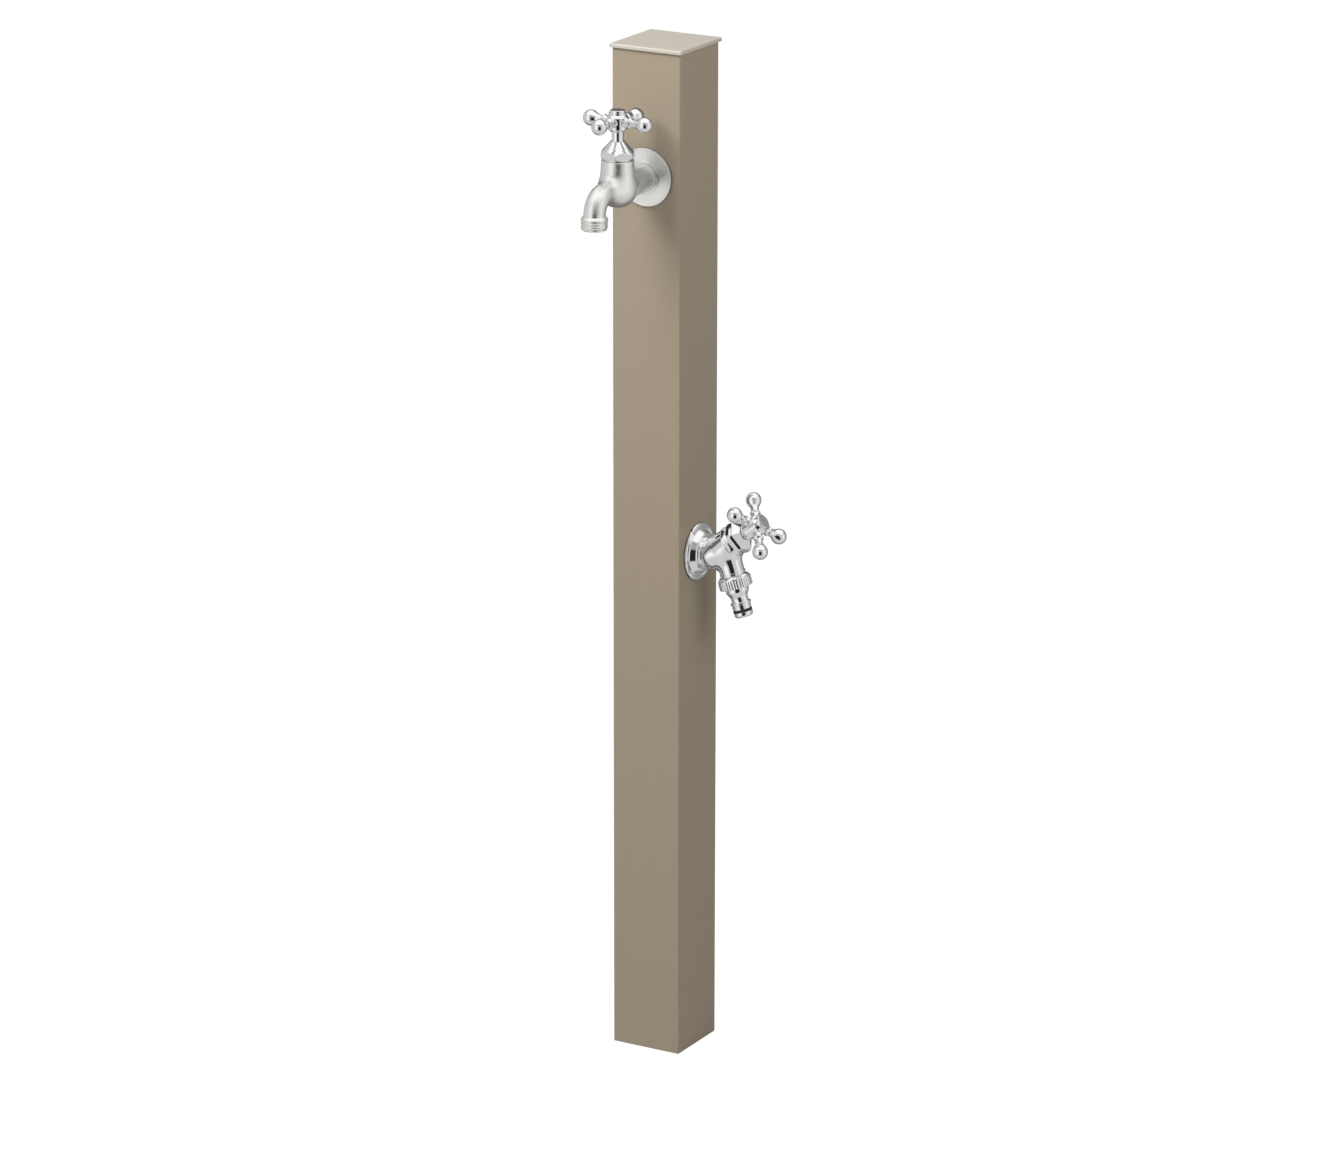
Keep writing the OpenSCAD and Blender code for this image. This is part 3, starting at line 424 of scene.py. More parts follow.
# %% Shader group for one soft patch of light
def patch_group():
    tree, group_in, group_out = new_group(
        "soft_patch",
        "ShaderNodeTree",
        [
            ("Light", FLOAT, 1),
            ("Across", FLOAT, 0),
            ("Up", FLOAT, 0),
            ("Middle Across", FLOAT, 0),
            ("Middle Up", FLOAT, 0),
            ("Half Width", FLOAT, 0.5),
            ("Half Height", FLOAT, 0.5),
            ("Softness", FLOAT, 0.2),
            ("Patch Light", FLOAT, 1),
        ],
        [("Light", FLOAT)],
    )
    values = group_in.outputs

    def share_out(angle, middle, half):
        off = worked(tree, "ABSOLUTE", worked(tree, "SUBTRACT", values[angle], values[middle]))
        return worked(tree, "DIVIDE", off, values[half])

    across = share_out("Across", "Middle Across", "Half Width")
    up = share_out("Up", "Middle Up", "Half Height")
    furthest = worked(tree, "MAXIMUM", across, up)
    inner = worked(tree, "SUBTRACT", 1.0, values["Softness"])
    outer = worked(tree, "ADD", 1.0, values["Softness"])
    mask = add_node(
        tree,
        "ShaderNodeMapRange",
        {
            "Value": furthest,
            "From Min": inner,
            "From Max": outer,
            "To Min": 1.0,
            "To Max": 0.0,
        },
        interpolation_type="SMOOTHSTEP",
    )
    mixed = add_node(
        tree,
        "ShaderNodeMix",
        {0: mask.outputs[0], 2: values["Light"], 3: values["Patch Light"]},
    )
    tree.links.new(mixed.outputs[0], group_out.inputs["Light"])
    return tree


# %% World of light, with the tent for mirrored rays
# What lights the object, and what a mirrored ray meets where there is no patch
WORLD_LIGHT, BEHIND_LIGHT = 0.16, 0.30
# Each patch: middle across and up, half width, half height, in degrees, softness, light
PATCHES = {
    "front half": (0, 0, 112, 100, 0.12, 0.66),
    "overhead": (0, 85, 400, 46, 0.2, 1.12),
    "behind on the left": (-142, 8, 34, 40, 0.25, 0.60),
    "dark behind, right": (180, -14, 26, 30, 0.3, 0.07),
    "dark behind, left": (-180, -14, 26, 30, 0.3, 0.07),
    "left soft box": (-46, 14, 15, 36, 0.35, 1.10),
    "right soft box": (68, 12, 11, 36, 0.35, 1.00),
    "shade over the camera": (0, 40, 36, 7, 0.5, 0.34),
    "shade under the overhead light": (2, 20, 19, 16, 0.3, 0.40),
    "opening round the camera": (3, -10, 20, 26, 0.2, 0.02),
}


def studio_world():
    world = bpy.data.worlds.new("studio_world")
    world.use_nodes = True
    tree = world.node_tree
    tree.nodes.clear()
    ray = add_node(tree, "ShaderNodeTexCoord").outputs["Generated"]
    turned_ray = add_node(
        tree,
        "ShaderNodeVectorRotate",
        {"Vector": ray, "Angle": -CAMERA_TURNS[0]},
        rotation_type="Z_AXIS",
    )
    parts = add_node(tree, "ShaderNodeSeparateXYZ", {0: turned_ray.outputs[0]}).outputs
    across = worked(tree, "ARCTAN2", parts["X"], worked(tree, "MULTIPLY", parts["Y"], -1.0))
    up = worked(tree, "ARCSINE", parts["Z"])
    group, light = patch_group(), BEHIND_LIGHT
    for middle_across, middle_up, half_width, half_height, softness, own_light in PATCHES.values():
        patch = add_node(
            tree,
            "ShaderNodeGroup",
            {
                "Across": across,
                "Up": up,
                "Middle Across": math.radians(middle_across),
                "Middle Up": math.radians(middle_up),
                "Half Width": math.radians(half_width),
                "Half Height": math.radians(half_height),
                "Softness": softness,
                "Patch Light": own_light,
                "Light": light,
            },
            node_tree=group,
        )
        light = patch.outputs["Light"]
    tent, white, plain = (
        add_node(tree, "ShaderNodeBackground", {"Color": WHITE, "Strength": strength}).outputs[0]
        for strength in (light, 1.0, WORLD_LIGHT)
    )
    looked_at = seen_by(tree, "Is Camera Ray", "Is Transmission Ray")
    direct = mixed_shader(tree, looked_at, plain, white)
    surface = mixed_shader(tree, seen_by(tree, "Is Glossy Ray"), direct, tent)
    add_node(tree, "ShaderNodeOutputWorld", {"Surface": surface})
    bpy.context.scene.world = world


studio_world()
print("tent patches:", ", ".join(PATCHES))

# %% [markdown]
# ## Castings as fields
#
# A tap's body is cast: its pipes, bulb and neck run into each other with soft rounded
# corners. Boolean cuts of cylinders would leave sharp seams. So each casting is written
# as a field instead, a function that gives every point its distance to the skin. Two
# fields join with a rounded corner of any size. The field is sampled on a grid, a quad
# mesh is laid where it changes sign, and each corner is then moved onto the true skin.

# %% Fields of simple shapes, and how they join
def ball(points, centre, radius):
    return np.linalg.norm(points - np.array(centre), axis=-1) - radius


def bar(points, start, end, start_r, end_r=None):
    """A round bar between two points, whose radius may change along it."""
    start, end = np.array(start), np.array(end)
    along = end - start
    share = np.clip((points - start) @ along / (along @ along), 0, 1)
    radius = start_r + ((start_r if end_r is None else end_r) - start_r) * share
    return np.linalg.norm(points - start - share[..., None] * along, axis=-1) - radius


def rounded_join(a, b, rounding):
    share = np.clip(0.5 + 0.5 * (b - a) / rounding, 0, 1)
    return b + (a - b) * share - rounding * share * (1 - share)


def rounded_cut(a, b, rounding):
    """What is inside both fields, with its new edges rounded."""
    return -rounded_join(-a, -b, rounding)


def turned_field(points, outline):
    """A solid turned about Z. outline is its closed profile as (radius, height) pairs."""
    at = np.stack([np.hypot(points[..., 0], points[..., 1]), points[..., 2]], -1)
    nearest = np.full(at.shape[:-1], np.inf)
    inside = np.zeros(at.shape[:-1], bool)
    for (r0, z0), (r1, z1) in zip(outline, outline[1:] + outline[:1]):
        edge, away = np.array((r1 - r0, z1 - z0)), at - np.array((r0, z0))
        if z0 != z1:
            between = (at[..., 1] < z0) != (at[..., 1] < z1)
            inside ^= between & (away[..., 0] < away[..., 1] * (r1 - r0) / (z1 - z0))
        if r0 > 0 or r1 > 0:
            share = np.clip(away @ edge / (edge @ edge), 0, 1)
            nearest = np.minimum(nearest, ((away - share[..., None] * edge) ** 2).sum(-1))
    return np.where(inside, -1, 1) * np.sqrt(nearest)


def rounded_turned(points, outline, rounding):
    """The same with every outer edge rounded, from an outline that is drawn full size."""
    return turned_field(points, shrunk(outline, rounding)) - rounding


def shrunk(outline, amount):
    """A turned outline moved inwards, off its own edges but not off the axis."""
    corners = []
    pairs = list(zip(outline[-1:] + outline[:-1], outline, outline[1:] + outline[:1]))
    for before, here, after in pairs:
        sides = [offset_line(*line, amount) for line in ((before, here), (here, after))]
        corners.append(crossing(*sides))
    return corners


def offset_line(start, end, amount):
    """A point and a direction of an outline's side, moved to its left unless it is the axis."""
    run = (end[0] - start[0], end[1] - start[1])
    length = math.hypot(*run)
    step = 0 if start[0] == end[0] == 0 else amount / length
    return (start[0] - run[1] * step, start[1] + run[0] * step), run


def crossing(first, second):
    (x0, y0), (u0, v0) = first
    (x1, y1), (u1, v1) = second
    det = u1 * v0 - u0 * v1
    if abs(det) < 1e-12:
        return x1, y1
    share = (u1 * (y1 - y0) - v1 * (x1 - x0)) / det
    return x0 + u0 * share, y0 + v0 * share


def six_flats(points, low, high, turn, rounding):
    """Six flats round Z from one (radius, height) to another, with rounded corners."""
    (low_r, low_z), (high_r, high_z) = low, high
    length = math.dist(low, high)
    outwards, upwards = (high_z - low_z) / length, (low_r - high_r) / length
    inside = None
    for side in range(6):
        angle = turn + side * math.pi / 3
        reach = points[..., 0] * math.cos(angle) + points[..., 1] * math.sin(angle)
        flat = (reach - low_r) * outwards + (points[..., 2] - low_z) * upwards
        inside = flat if inside is None else rounded_cut(inside, flat, rounding)
    return inside


def rod_outline(radius, low, high):
    """The outline of a plain cylinder between two heights."""
    return [(0, low), (radius, low), (radius, high), (0, high)]


# %% From a field to a mesh
def grid_points(low, step, counts):
    lines = [start + step * np.arange(count) for start, count in zip(low, counts)]
    return np.stack(np.meshgrid(*lines, indexing="ij"), -1)


# How far the skin may be from the middle of a block that it crosses, in block sides:
# half the block's diagonal is 0.87, and the rest is room for fields that are a bit off
BLOCK_REACH = 1.2


def sampled(field, grid, low, step, block=8):
    """The field on a grid, worked out in full only in the blocks that its skin may cross."""
    counts = np.array(grid.shape[:3])
    middles = grid_points(low + step * (block - 1) / 2, step * block, -(-counts // block))
    values = np.kron(field(middles), np.ones((block, block, block)))
    values = values[: counts[0], : counts[1], : counts[2]]
    near = np.abs(values) < BLOCK_REACH * step * block
    values[near] = field(grid[near])
    return values


def quad_skin(field, low, high, step):
    """The surface where a field changes sign, as quads with one corner in each grid cell."""
    low, high = np.array(low), np.array(high)
    counts = np.ceil((high - low) / step).astype(int) + 1
    grid = grid_points(low, step, counts)
    values = sampled(field, grid, low, step)
    total, hits = np.zeros((*(counts - 1), 3)), np.zeros(counts - 1)
    changes = []
    for axis in range(3):
        here = [slice(None)] * 3
        there = [slice(None)] * 3
        here[axis], there[axis] = slice(None, -1), slice(1, None)
        a, b = values[tuple(here)], values[tuple(there)]
        change = (a < 0) != (b < 0)
        share = np.where(change, a / np.where(change, a - b, 1), 0)
        place = grid[tuple(here)] + share[..., None] * step * np.eye(3)[axis]
        others = [o for o in range(3) if o != axis]
        for shift in ((0, 0), (0, 1), (1, 0), (1, 1)):
            part = [slice(None)] * 3
            for other, moved in zip(others, shift):
                part[other] = slice(moved, counts[other] - 1 + moved)
            total += np.where(change[tuple(part)][..., None], place[tuple(part)], 0)
            hits += change[tuple(part)]
        changes.append((axis, np.argwhere(change), a[change] < 0))
    numbers = np.full(counts - 1, -1)
    active = hits > 0
    numbers[active] = np.arange(active.sum())
    corners = total[active] / hits[active][:, None]
    quads = [quads_across(numbers, *change) for change in changes]
    return corners, np.concatenate(quads)


def quads_across(numbers, axis, places, rising):
    """The quad round each grid edge along an axis that the surface crosses."""
    first, second = (axis + 1) % 3, (axis + 2) % 3
    ring = []
    for shift_1, shift_2 in ((-1, -1), (0, -1), (0, 0), (-1, 0)):
        cell = places.copy()
        cell[:, first] += shift_1
        cell[:, second] += shift_2
        ring.append(numbers[tuple(cell.T)])
    quads = np.stack(ring, -1)
    return np.where(rising[:, None], quads, quads[:, ::-1])


LEAST_SLOPE = 0.1


def onto_skin(field, points, reach=0.02 * MM, rounds=3):
    """Points moved along the field's slope until they lie on the skin."""
    for _ in range(rounds):
        rises = [field(points + reach * way) - field(points - reach * way) for way in np.eye(3)]
        slope = np.stack(rises, -1) / (2 * reach)
        steep = np.maximum((slope**2).sum(-1), LEAST_SLOPE)
        points = points - (field(points) / steep)[:, None] * slope
    return points


def new_piece(name, points, faces, place, material):
    """A smooth object at the origin whose mesh is drawn in its own frame and then placed."""
    matrix = np.array(place)
    points = np.asarray(points) @ matrix[:3, :3].T + matrix[:3, 3]
    mesh = bpy.data.meshes.new(name)
    mesh.from_pydata(points.tolist(), [], [list(face) for face in faces])
    mesh.materials.append(material)
    piece = in_scene(name, mesh)
    smooth(piece)
    return piece


def smooth(piece, sharp_degrees=35):
    piece.data.shade_smooth()
    piece.data.set_sharp_from_angle(angle=math.radians(sharp_degrees))


def cast(name, field, low, high, step, place, material):
    """The mesh of a field inside a box, on its exact skin."""
    corners, quads = quad_skin(field, low, high, step)
    piece = new_piece(name, onto_skin(field, corners), quads, place, material)
    print(name, len(quads), "quads")
    return piece


# %% [markdown]
# ## Turned pieces and cuts
#
# Flanges, buttons, threads and bores are round about an axis. A profile of radii and
# heights is spun into rings of quads, and the sharp corners of the profile are rounded
# first, because a plated edge always catches a thin line of light. Bores and threads
# are joined to the castings with Boolean modifiers, which are applied at once.

# %% Turned meshes, rounded profiles and Booleans
NEXT_TO_NOTHING = MM / 1000


def in_mm(*corners):
    """Corners that are written in millimetres."""
    return [tuple(value * MM for value in corner) for corner in corners]


def rounded_profile(corners, steps=4):
    """A profile of (radius, height) corners, with an arc where a corner has a rounding too."""
    profile = []
    for index, corner in enumerate(corners):
        if len(corner) < 3 or index in (0, len(corners) - 1):
            profile.append(tuple(corner[:2]))
            continue
        here = Vector(corner[:2])
        before, after = (Vector(corners[index + way][:2]) - here for way in (-1, 1))
        reach = min(corner[2], before.length * 0.5, after.length * 0.5)
        start, end = here + before.normalized() * reach, here + after.normalized() * reach
        for step in range(steps + 1):
            share = step / steps
            near = start.lerp(here, share)
            profile.append(tuple(near.lerp(here.lerp(end, share), share)))
    return profile


def without_repeats(profile):
    """A profile without the points that lie on the one before, round its closed loop."""
    pairs = zip(profile[-1:] + profile[:-1], profile)
    return [here for before, here in pairs if math.dist(before, here) > NEXT_TO_NOTHING]


def turned(name, profile, place, material, segments=96):
    """A closed solid of revolution about Z. The profile runs from the axis, or round a ring."""
    profile = without_repeats(profile)
    angles = np.arange(segments) * 2 * math.pi / segments
    points, rows = [], []
    for radius, height in profile:
        if radius <= 0:
            rows.append([len(points)] * segments)
            points.append((0, 0, height))
            continue
        rows.append(list(range(len(points), len(points) + segments)))
        points += [(radius * math.cos(a), radius * math.sin(a), height) for a in angles]
    if profile[0][0] > 0:
        rows.append(rows[0])
    faces = []
    for row, above in zip(rows, rows[1:]):
        for i in range(segments):
            j = (i + 1) % segments
            face = list(dict.fromkeys((row[i], row[j], above[j], above[i])))
            if len(face) > 2:
                faces.append(face)
    return new_piece(name, points, faces, place, material)


def rod(name, radius, low, high, place, material):
    return turned(name, rod_outline(radius, low, high), place, material)


def plain_mesh(piece):
    """Turns an object with modifiers into its plain result."""
    graph = bpy.context.evaluated_depsgraph_get()
    result = bpy.data.meshes.new_from_object(piece.evaluated_get(graph))
    piece.modifiers.clear()
    piece.data = result
    return piece


def weld(piece, reach=NEXT_TO_NOTHING):
    """Closes the hairline gaps, and drops the faces without area, that a Boolean can leave."""
    mesh = bmesh.new()
    mesh.from_mesh(piece.data)
    bmesh.ops.remove_doubles(mesh, verts=mesh.verts, dist=reach)
    bmesh.ops.dissolve_degenerate(mesh, edges=mesh.edges, dist=reach)
    mesh.to_mesh(piece.data)
    mesh.free()


def combine(piece, *tools):
    """Joins or cuts a piece with closed tools, given as (operation, tool), and drops the tools."""
    for operation, tool in tools:
        step = piece.modifiers.new(tool.name, "BOOLEAN")
        step.operation = operation
        step.solver = "MANIFOLD"
        step.object = tool
    plain_mesh(piece)
    weld(piece)
    for _, tool in tools:
        bpy.data.objects.remove(tool)
    smooth(piece)
    return piece


def attach(piece, body, slot, *nodes):
    """Fixes a piece to its body, in place of the CAD nodes that it stands for."""
    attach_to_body(piece, body)
    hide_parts(*nodes)
    print(piece.name, len(piece.data.polygons), "faces for", ", ".join(nodes))


# %% [markdown]
# ## The front tap's casting
#
# The real body is one bronze casting: a shank out of the post, a round bulb, a neck for
# the bonnet and a spout that bends down to a hose thread. Bulb, neck, shank and spout
# are four fields, joined with the generous roundings of a sand casting. The inlet and
# the bonnet's seat are machined, so they are turned with sharp edges and then joined.

# %% Front casting: bulb, neck, shank and spout
SPINDLE_X = post_low.y - FRONT_HEAD.translation.y
BULB_R, NECK_FOOT_R, NECK_R, SHANK_R = 14.8 * MM, 13.9 * MM, 12.6 * MM, 11 * MM
SPOUT_R, SPOUT_BORE_R, BEND_R, SPOUT_DROP = 8.5 * MM, 6.3 * MM, 14.6 * MM, 0.8 * MM
FRONT_SHOULDER, INLET_R, INLET_REACH, WAY_R = 3.6 * MM, 10.45 * MM, 14 * MM, 5.5 * MM
BULB_BLEND, SHANK_BLEND, SPOUT_BLEND = 3 * MM, 5 * MM, 8 * MM
CAST_STEP, EDGE, BORE_ROOM = 0.5 * MM, 0.8 * MM, 0.2 * MM

MOUNTS = {mount["name"]: mount for mount in frame["record"]["mounts"]}
hose_mount = MOUNTS["bucket_outlet"]
HOSE_R = hose_mount["dims"]["r_mm"] * MM
HOSE_X = post_low.y - hose_mount["pos_m"][1]
MOUTH_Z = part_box("upper_body")[0].z - front_z
HOSE_TOP = hose_mount["pos_m"][2] - front_z + hose_mount["dims"]["length_mm"] / 2 * MM
BEND_X, BEND_Z = HOSE_X - BEND_R, -SPOUT_DROP - BEND_R
# The corners of the box that the casting's field is sampled in
FRONT_BOX = (0, -18 * MM, -20 * MM), (HOSE_X + 12 * MM, 18 * MM, FRONT_RIM + 2 * MM)


def spout_field(points, radius):
    """The spout's tube: straight ahead, a quarter bend, and straight down."""
    away_x, away_z = points[..., 0] - BEND_X, points[..., 2] - BEND_Z
    off_ring = np.hypot(away_x, away_z) - BEND_R
    round_the_bend = np.hypot(off_ring, points[..., 1]) - radius
    bend = np.where((away_x >= 0) & (away_z >= 0), round_the_bend, np.inf)
    ahead = bar(points, (SPINDLE_X + SPOUT_R, 0, -SPOUT_DROP), (BEND_X, 0, -SPOUT_DROP), radius)
    down = bar(points, (HOSE_X, 0, BEND_Z), (HOSE_X, 0, MOUTH_Z), radius)
    return np.minimum(np.minimum(ahead, down), bend)


def front_skin(points):
    bulb = ball(points, (SPINDLE_X, 0, 0), BULB_R)
    neck = bar(points, (SPINDLE_X, 0, 0), (SPINDLE_X, 0, FRONT_RIM), NECK_FOOT_R, NECK_R)
    shank = bar(points, (0, 0, 0), (SPINDLE_X, 0, 0), SHANK_R)
    body = rounded_join(rounded_join(bulb, neck, BULB_BLEND), shank, SHANK_BLEND)
    body = rounded_join(body, spout_field(points, SPOUT_R), SPOUT_BLEND)
    body = rounded_cut(body, points[..., 2] - FRONT_RIM, EDGE)
    body = np.maximum(body, FRONT_SHOULDER - points[..., 0])
    body = np.maximum(body, HOSE_TOP - 2 * EDGE - points[..., 2])
    return np.maximum(body, -spout_field(points, SPOUT_BORE_R + BORE_ROOM))


front_casting = cast("front_casting", front_skin, *FRONT_BOX, CAST_STEP, FRONT_TAP, SATIN)

# %% Machined ends of the front casting
NECK_THREAD_R, NECK_THREAD_H = 9.3 * MM, 5 * MM
THREAD_DEPTH, THREAD_PITCH = 1.1 * MM, 1.814 * MM
THREAD_ROOT_R = HOSE_R - THREAD_DEPTH


def lying(place):
    """The same place with its Z axis turned along the tap's own axis."""
    return place @ axes_frame((0, 0, 0), (1, 0, 0), (0, 0, 1))


def inlet(name, shoulder, place, material):
    """The threaded inlet that screws into the post's fitting, with its water way."""
    corners = [
        (WAY_R, -INLET_REACH),
        (INLET_R - EDGE, -INLET_REACH),
        (INLET_R, EDGE - INLET_REACH),
        (INLET_R, shoulder + EDGE),
        (WAY_R, shoulder + EDGE),
    ]
    return turned(name, corners, lying(place), material)


hose_end = turned(
    "hose_end",
    rounded_profile(
        [
            (SPOUT_BORE_R, HOSE_TOP + HOSE_R - SPOUT_BORE_R - EDGE),
            (SPOUT_BORE_R, MOUTH_Z, 0.3 * MM),
            (THREAD_ROOT_R, MOUTH_Z, EDGE),
            (THREAD_ROOT_R, HOSE_TOP - THREAD_PITCH, 0.3 * MM),
            (HOSE_R, HOSE_TOP - 0.4 * THREAD_PITCH, 0.3 * MM),
            (HOSE_R, HOSE_TOP, 0.5 * MM),
            (SPOUT_R - EDGE, HOSE_TOP + HOSE_R - SPOUT_R + EDGE),
            (SPOUT_BORE_R + EDGE, HOSE_TOP + HOSE_R - SPOUT_BORE_R - EDGE),
        ]
    ),
    FRONT_TAP @ Matrix.Translation((HOSE_X, 0, 0)),
    SATIN,
)
neck_thread = rod(
    "neck_thread",
    NECK_THREAD_R,
    0,
    FRONT_RIM + NECK_THREAD_H,
    FRONT_TAP @ Matrix.Translation((SPINDLE_X, 0, 0)),
    SATIN,
)
print("hose thread", round(2000 * HOSE_R, 1), "mm wide, mouth at", round(1000 * MOUTH_Z, 1), "mm")

# %% [markdown]
# ## The hose thread
#
# The spout ends in a screw thread. A thread is one ridge that climbs round the core, so
# it follows a rule, and Geometry Nodes draw it from four numbers: a spiral curve carries
# a four-cornered section. The section shrinks at both ends, as a real thread runs out.

# %% Geometry Nodes for a screw thread
INTEGER, GEOMETRY, MATERIAL = "NodeSocketInt", "NodeSocketGeometry", "NodeSocketMaterial"
SECTION_CORNERS, TURN_STEPS = 4, 40
FADE_TURNS, FADED_SHARE = 0.3, 0.25


def thread_tree():
    tree, group_in, group_out = new_group(
        "screw_thread",
        "GeometryNodeTree",
        [
            ("Radius", FLOAT, 0.01),
            ("Pitch", FLOAT, 0.002),
            ("Turns", FLOAT, 4),
            ("Section Radius", FLOAT, 0.001),
            ("Material", MATERIAL, None),
        ],
        [("Geometry", GEOMETRY)],
    )
    values = group_in.outputs
    height = worked(tree, "MULTIPLY", values["Pitch"], values["Turns"])
    spiral = add_node(
        tree,
        "GeometryNodeCurveSpiral",
        {
            "Resolution": TURN_STEPS,
            "Rotations": values["Turns"],
            "Start Radius": values["Radius"],
            "End Radius": values["Radius"],
            "Height": height,
        },
    )
    upright = add_node(
        tree, "GeometryNodeSetCurveNormal", {"Curve": spiral.outputs[0]}, mode="Z_UP"
    )
    along = add_node(tree, "GeometryNodeSplineParameter").outputs["Factor"]
    nearer = worked(tree, "MINIMUM", along, worked(tree, "SUBTRACT", 1.0, along))
    turns_in = worked(tree, "MULTIPLY", nearer, values["Turns"])
    fade = add_node(
        tree,
        "ShaderNodeMapRange",
        {"Value": turns_in, "From Max": FADE_TURNS, "To Min": FADED_SHARE},
    )
    faded = add_node(
        tree,
        "GeometryNodeSetCurveRadius",
        {"Curve": upright.outputs[0], "Radius": fade.outputs["Result"]},
    )
    section = add_node(
        tree,
        "GeometryNodeCurvePrimitiveCircle",
        {"Resolution": SECTION_CORNERS, "Radius": values["Section Radius"]},
    )
    ridge = add_node(
        tree,
        "GeometryNodeCurveToMesh",
        {"Curve": faded.outputs[0], "Profile Curve": section.outputs["Curve"], "Fill Caps": True},
    )
    real = add_node(tree, "GeometryNodeRealizeInstances", {"Geometry": ridge.outputs[0]})
    finished = add_node(
        tree,
        "GeometryNodeSetMaterial",
        {"Geometry": real.outputs[0], "Material": values["Material"]},
    )
    tree.links.new(finished.outputs[0], group_out.inputs["Geometry"])
    return tree


def from_tree(name, tree, values, place):
    """The mesh that a Geometry Nodes tree makes, as a plain object in its place."""
    piece = in_scene(name, bpy.data.meshes.new(name))
    step = piece.modifiers.new(tree.name, "NODES")
    step.node_group = tree
    for item in tree.interface.items_tree:
        if item.item_type == "SOCKET" and item.in_out == "INPUT" and item.name in values:
            step[item.identifier] = values[item.name]
    plain_mesh(piece)
    piece.data.transform(place)
    smooth(piece)
    print(name, len(piece.data.polygons), "faces from", tree.name)
    return piece


# The section is a little under half a pitch, so the turns of the ridge stay apart
CREST = 0.5 * THREAD_PITCH
CREST_SECTION_R, FIRST_CREST, THREAD_TURNS = 0.98 * CREST, 0.6 * THREAD_PITCH, 3.9
thread_ridge = from_tree(
    "thread_ridge",
    thread_tree(),
    {
        "Radius": HOSE_R - CREST,
        "Pitch": THREAD_PITCH,
        "Turns": THREAD_TURNS,
        "Section Radius": CREST_SECTION_R,
        "Material": SATIN,
    },
    FRONT_TAP @ Matrix.Translation((HOSE_X, 0, MOUTH_Z + FIRST_CREST)),
)

# %% Join the front casting
combine(
    front_casting,
    ("UNION", inlet("front_inlet", FRONT_SHOULDER, FRONT_TAP, SATIN)),
    ("UNION", neck_thread),
    ("UNION", hose_end),
    ("UNION", thread_ridge),
)
attach(front_casting, "standpipe", "satin_chrome", "upper_body")

# %% [markdown]
# ## The side tap's casting
#
# The side tap is a straight pipe that bends up towards its spindle, with a short outlet
# hanging from the bend. It is polished before it is plated, so every join runs over in
# a long soft curve. The same fields make it, with wider roundings between them. A thin
# ring stands round the outlet just above the nut.

# %% Side casting: shank, leaning neck and outlet
def in_tap(point, tap):
    """A point of the row frame in a tap's own frame."""
    return tap.inverted() @ Vector(point)


BRANCH = in_tap(SIDE_HEAD @ Vector((0, 0, -SIDE_RIM)), SIDE_TAP)
SIDE_FOOT = in_tap(SIDE_HEAD.translation, SIDE_TAP)
SIDE_LEAN = (SIDE_FOOT - BRANCH).normalized()
SIDE_NECK_R, KNEE_R, OUTLET_R, SIDE_SHOULDER = 12.4 * MM, 12 * MM, 9.9 * MM, 8 * MM
NUT_Z, OUTLET_THREAD_R, OUTLET_BORE_R = 15.9 * MM, 10.3 * MM, 5.8 * MM
KNEE_BLEND, OUTLET_BLEND, OUTLET_EDGE, NUT_GAP = 4 * MM, 6 * MM, 0.5 * MM, 0.2 * MM
# Neck and outlet are drawn past their ends and cut back there
NECK_END, OUTLET_LAST = SIDE_FOOT + SIDE_LEAN * 5 * MM, OUTLET_FOOT + OUTLET_DOWN * 30 * MM
SIDE_BOX = (SIDE_SHOULDER - 2 * MM, -16 * MM, -20 * MM), (44 * MM, 16 * MM, 24 * MM)


def side_skin(points):
    neck = bar(points, BRANCH, NECK_END, KNEE_R, SIDE_NECK_R)
    shank = bar(points, (0, 0, 0), BRANCH, SHANK_R)
    body = rounded_join(neck, shank, KNEE_BLEND)
    outlet = bar(points, OUTLET_FOOT, OUTLET_LAST, OUTLET_R)
    body = rounded_join(body, outlet, OUTLET_BLEND)
    body = rounded_cut(body, (points - np.array(SIDE_FOOT)) @ np.array(SIDE_LEAN), EDGE)
    down = (points - np.array(OUTLET_FOOT)) @ np.array(OUTLET_DOWN)
    body = rounded_cut(body, down - (NUT_Z - NUT_GAP), OUTLET_EDGE)
    return np.maximum(body, SIDE_SHOULDER - points[..., 0])


side_casting = cast("side_casting", side_skin, *SIDE_BOX, CAST_STEP, SIDE_TAP, CHROME)

# %% Join the side casting with its inlet, thread and ring
OUTLET_END, RING_STEP, RING_Z, RING_H = 22.2 * MM, 0.6 * MM, 13.2 * MM, 1.1 * MM
THREAD_SINK, WAY_TOP, PAST_END = 5 * MM, 8 * MM, 2 * MM
side_thread = rod(
    "side_thread", NECK_THREAD_R, -THREAD_SINK, NECK_THREAD_H, SIDE_HEAD, CHROME
)
outlet_thread = turned(
    "outlet_thread",
    [
        (0, NUT_Z - THREAD_SINK),
        (OUTLET_R - EDGE, NUT_Z - THREAD_SINK),
        (OUTLET_R - EDGE, NUT_Z - NUT_GAP / 2),
        (OUTLET_THREAD_R, NUT_Z - NUT_GAP / 2),
        (OUTLET_THREAD_R, OUTLET_END),
        (0, OUTLET_END),
    ],
    OUTLET,
    CHROME,
)
outlet_ring = turned(
    "outlet_ring",
    rounded_profile(
        [
            (0, RING_Z),
            (OUTLET_R + RING_STEP, RING_Z, RING_STEP / 2),
            (OUTLET_R + RING_STEP, RING_Z + RING_H, RING_STEP / 2),
            (0, RING_Z + RING_H),
        ]
    ),
    OUTLET,
    CHROME,
)
outlet_bore = rod(
    "outlet_bore", OUTLET_BORE_R, WAY_TOP, OUTLET_END + PAST_END, OUTLET, CHROME
)
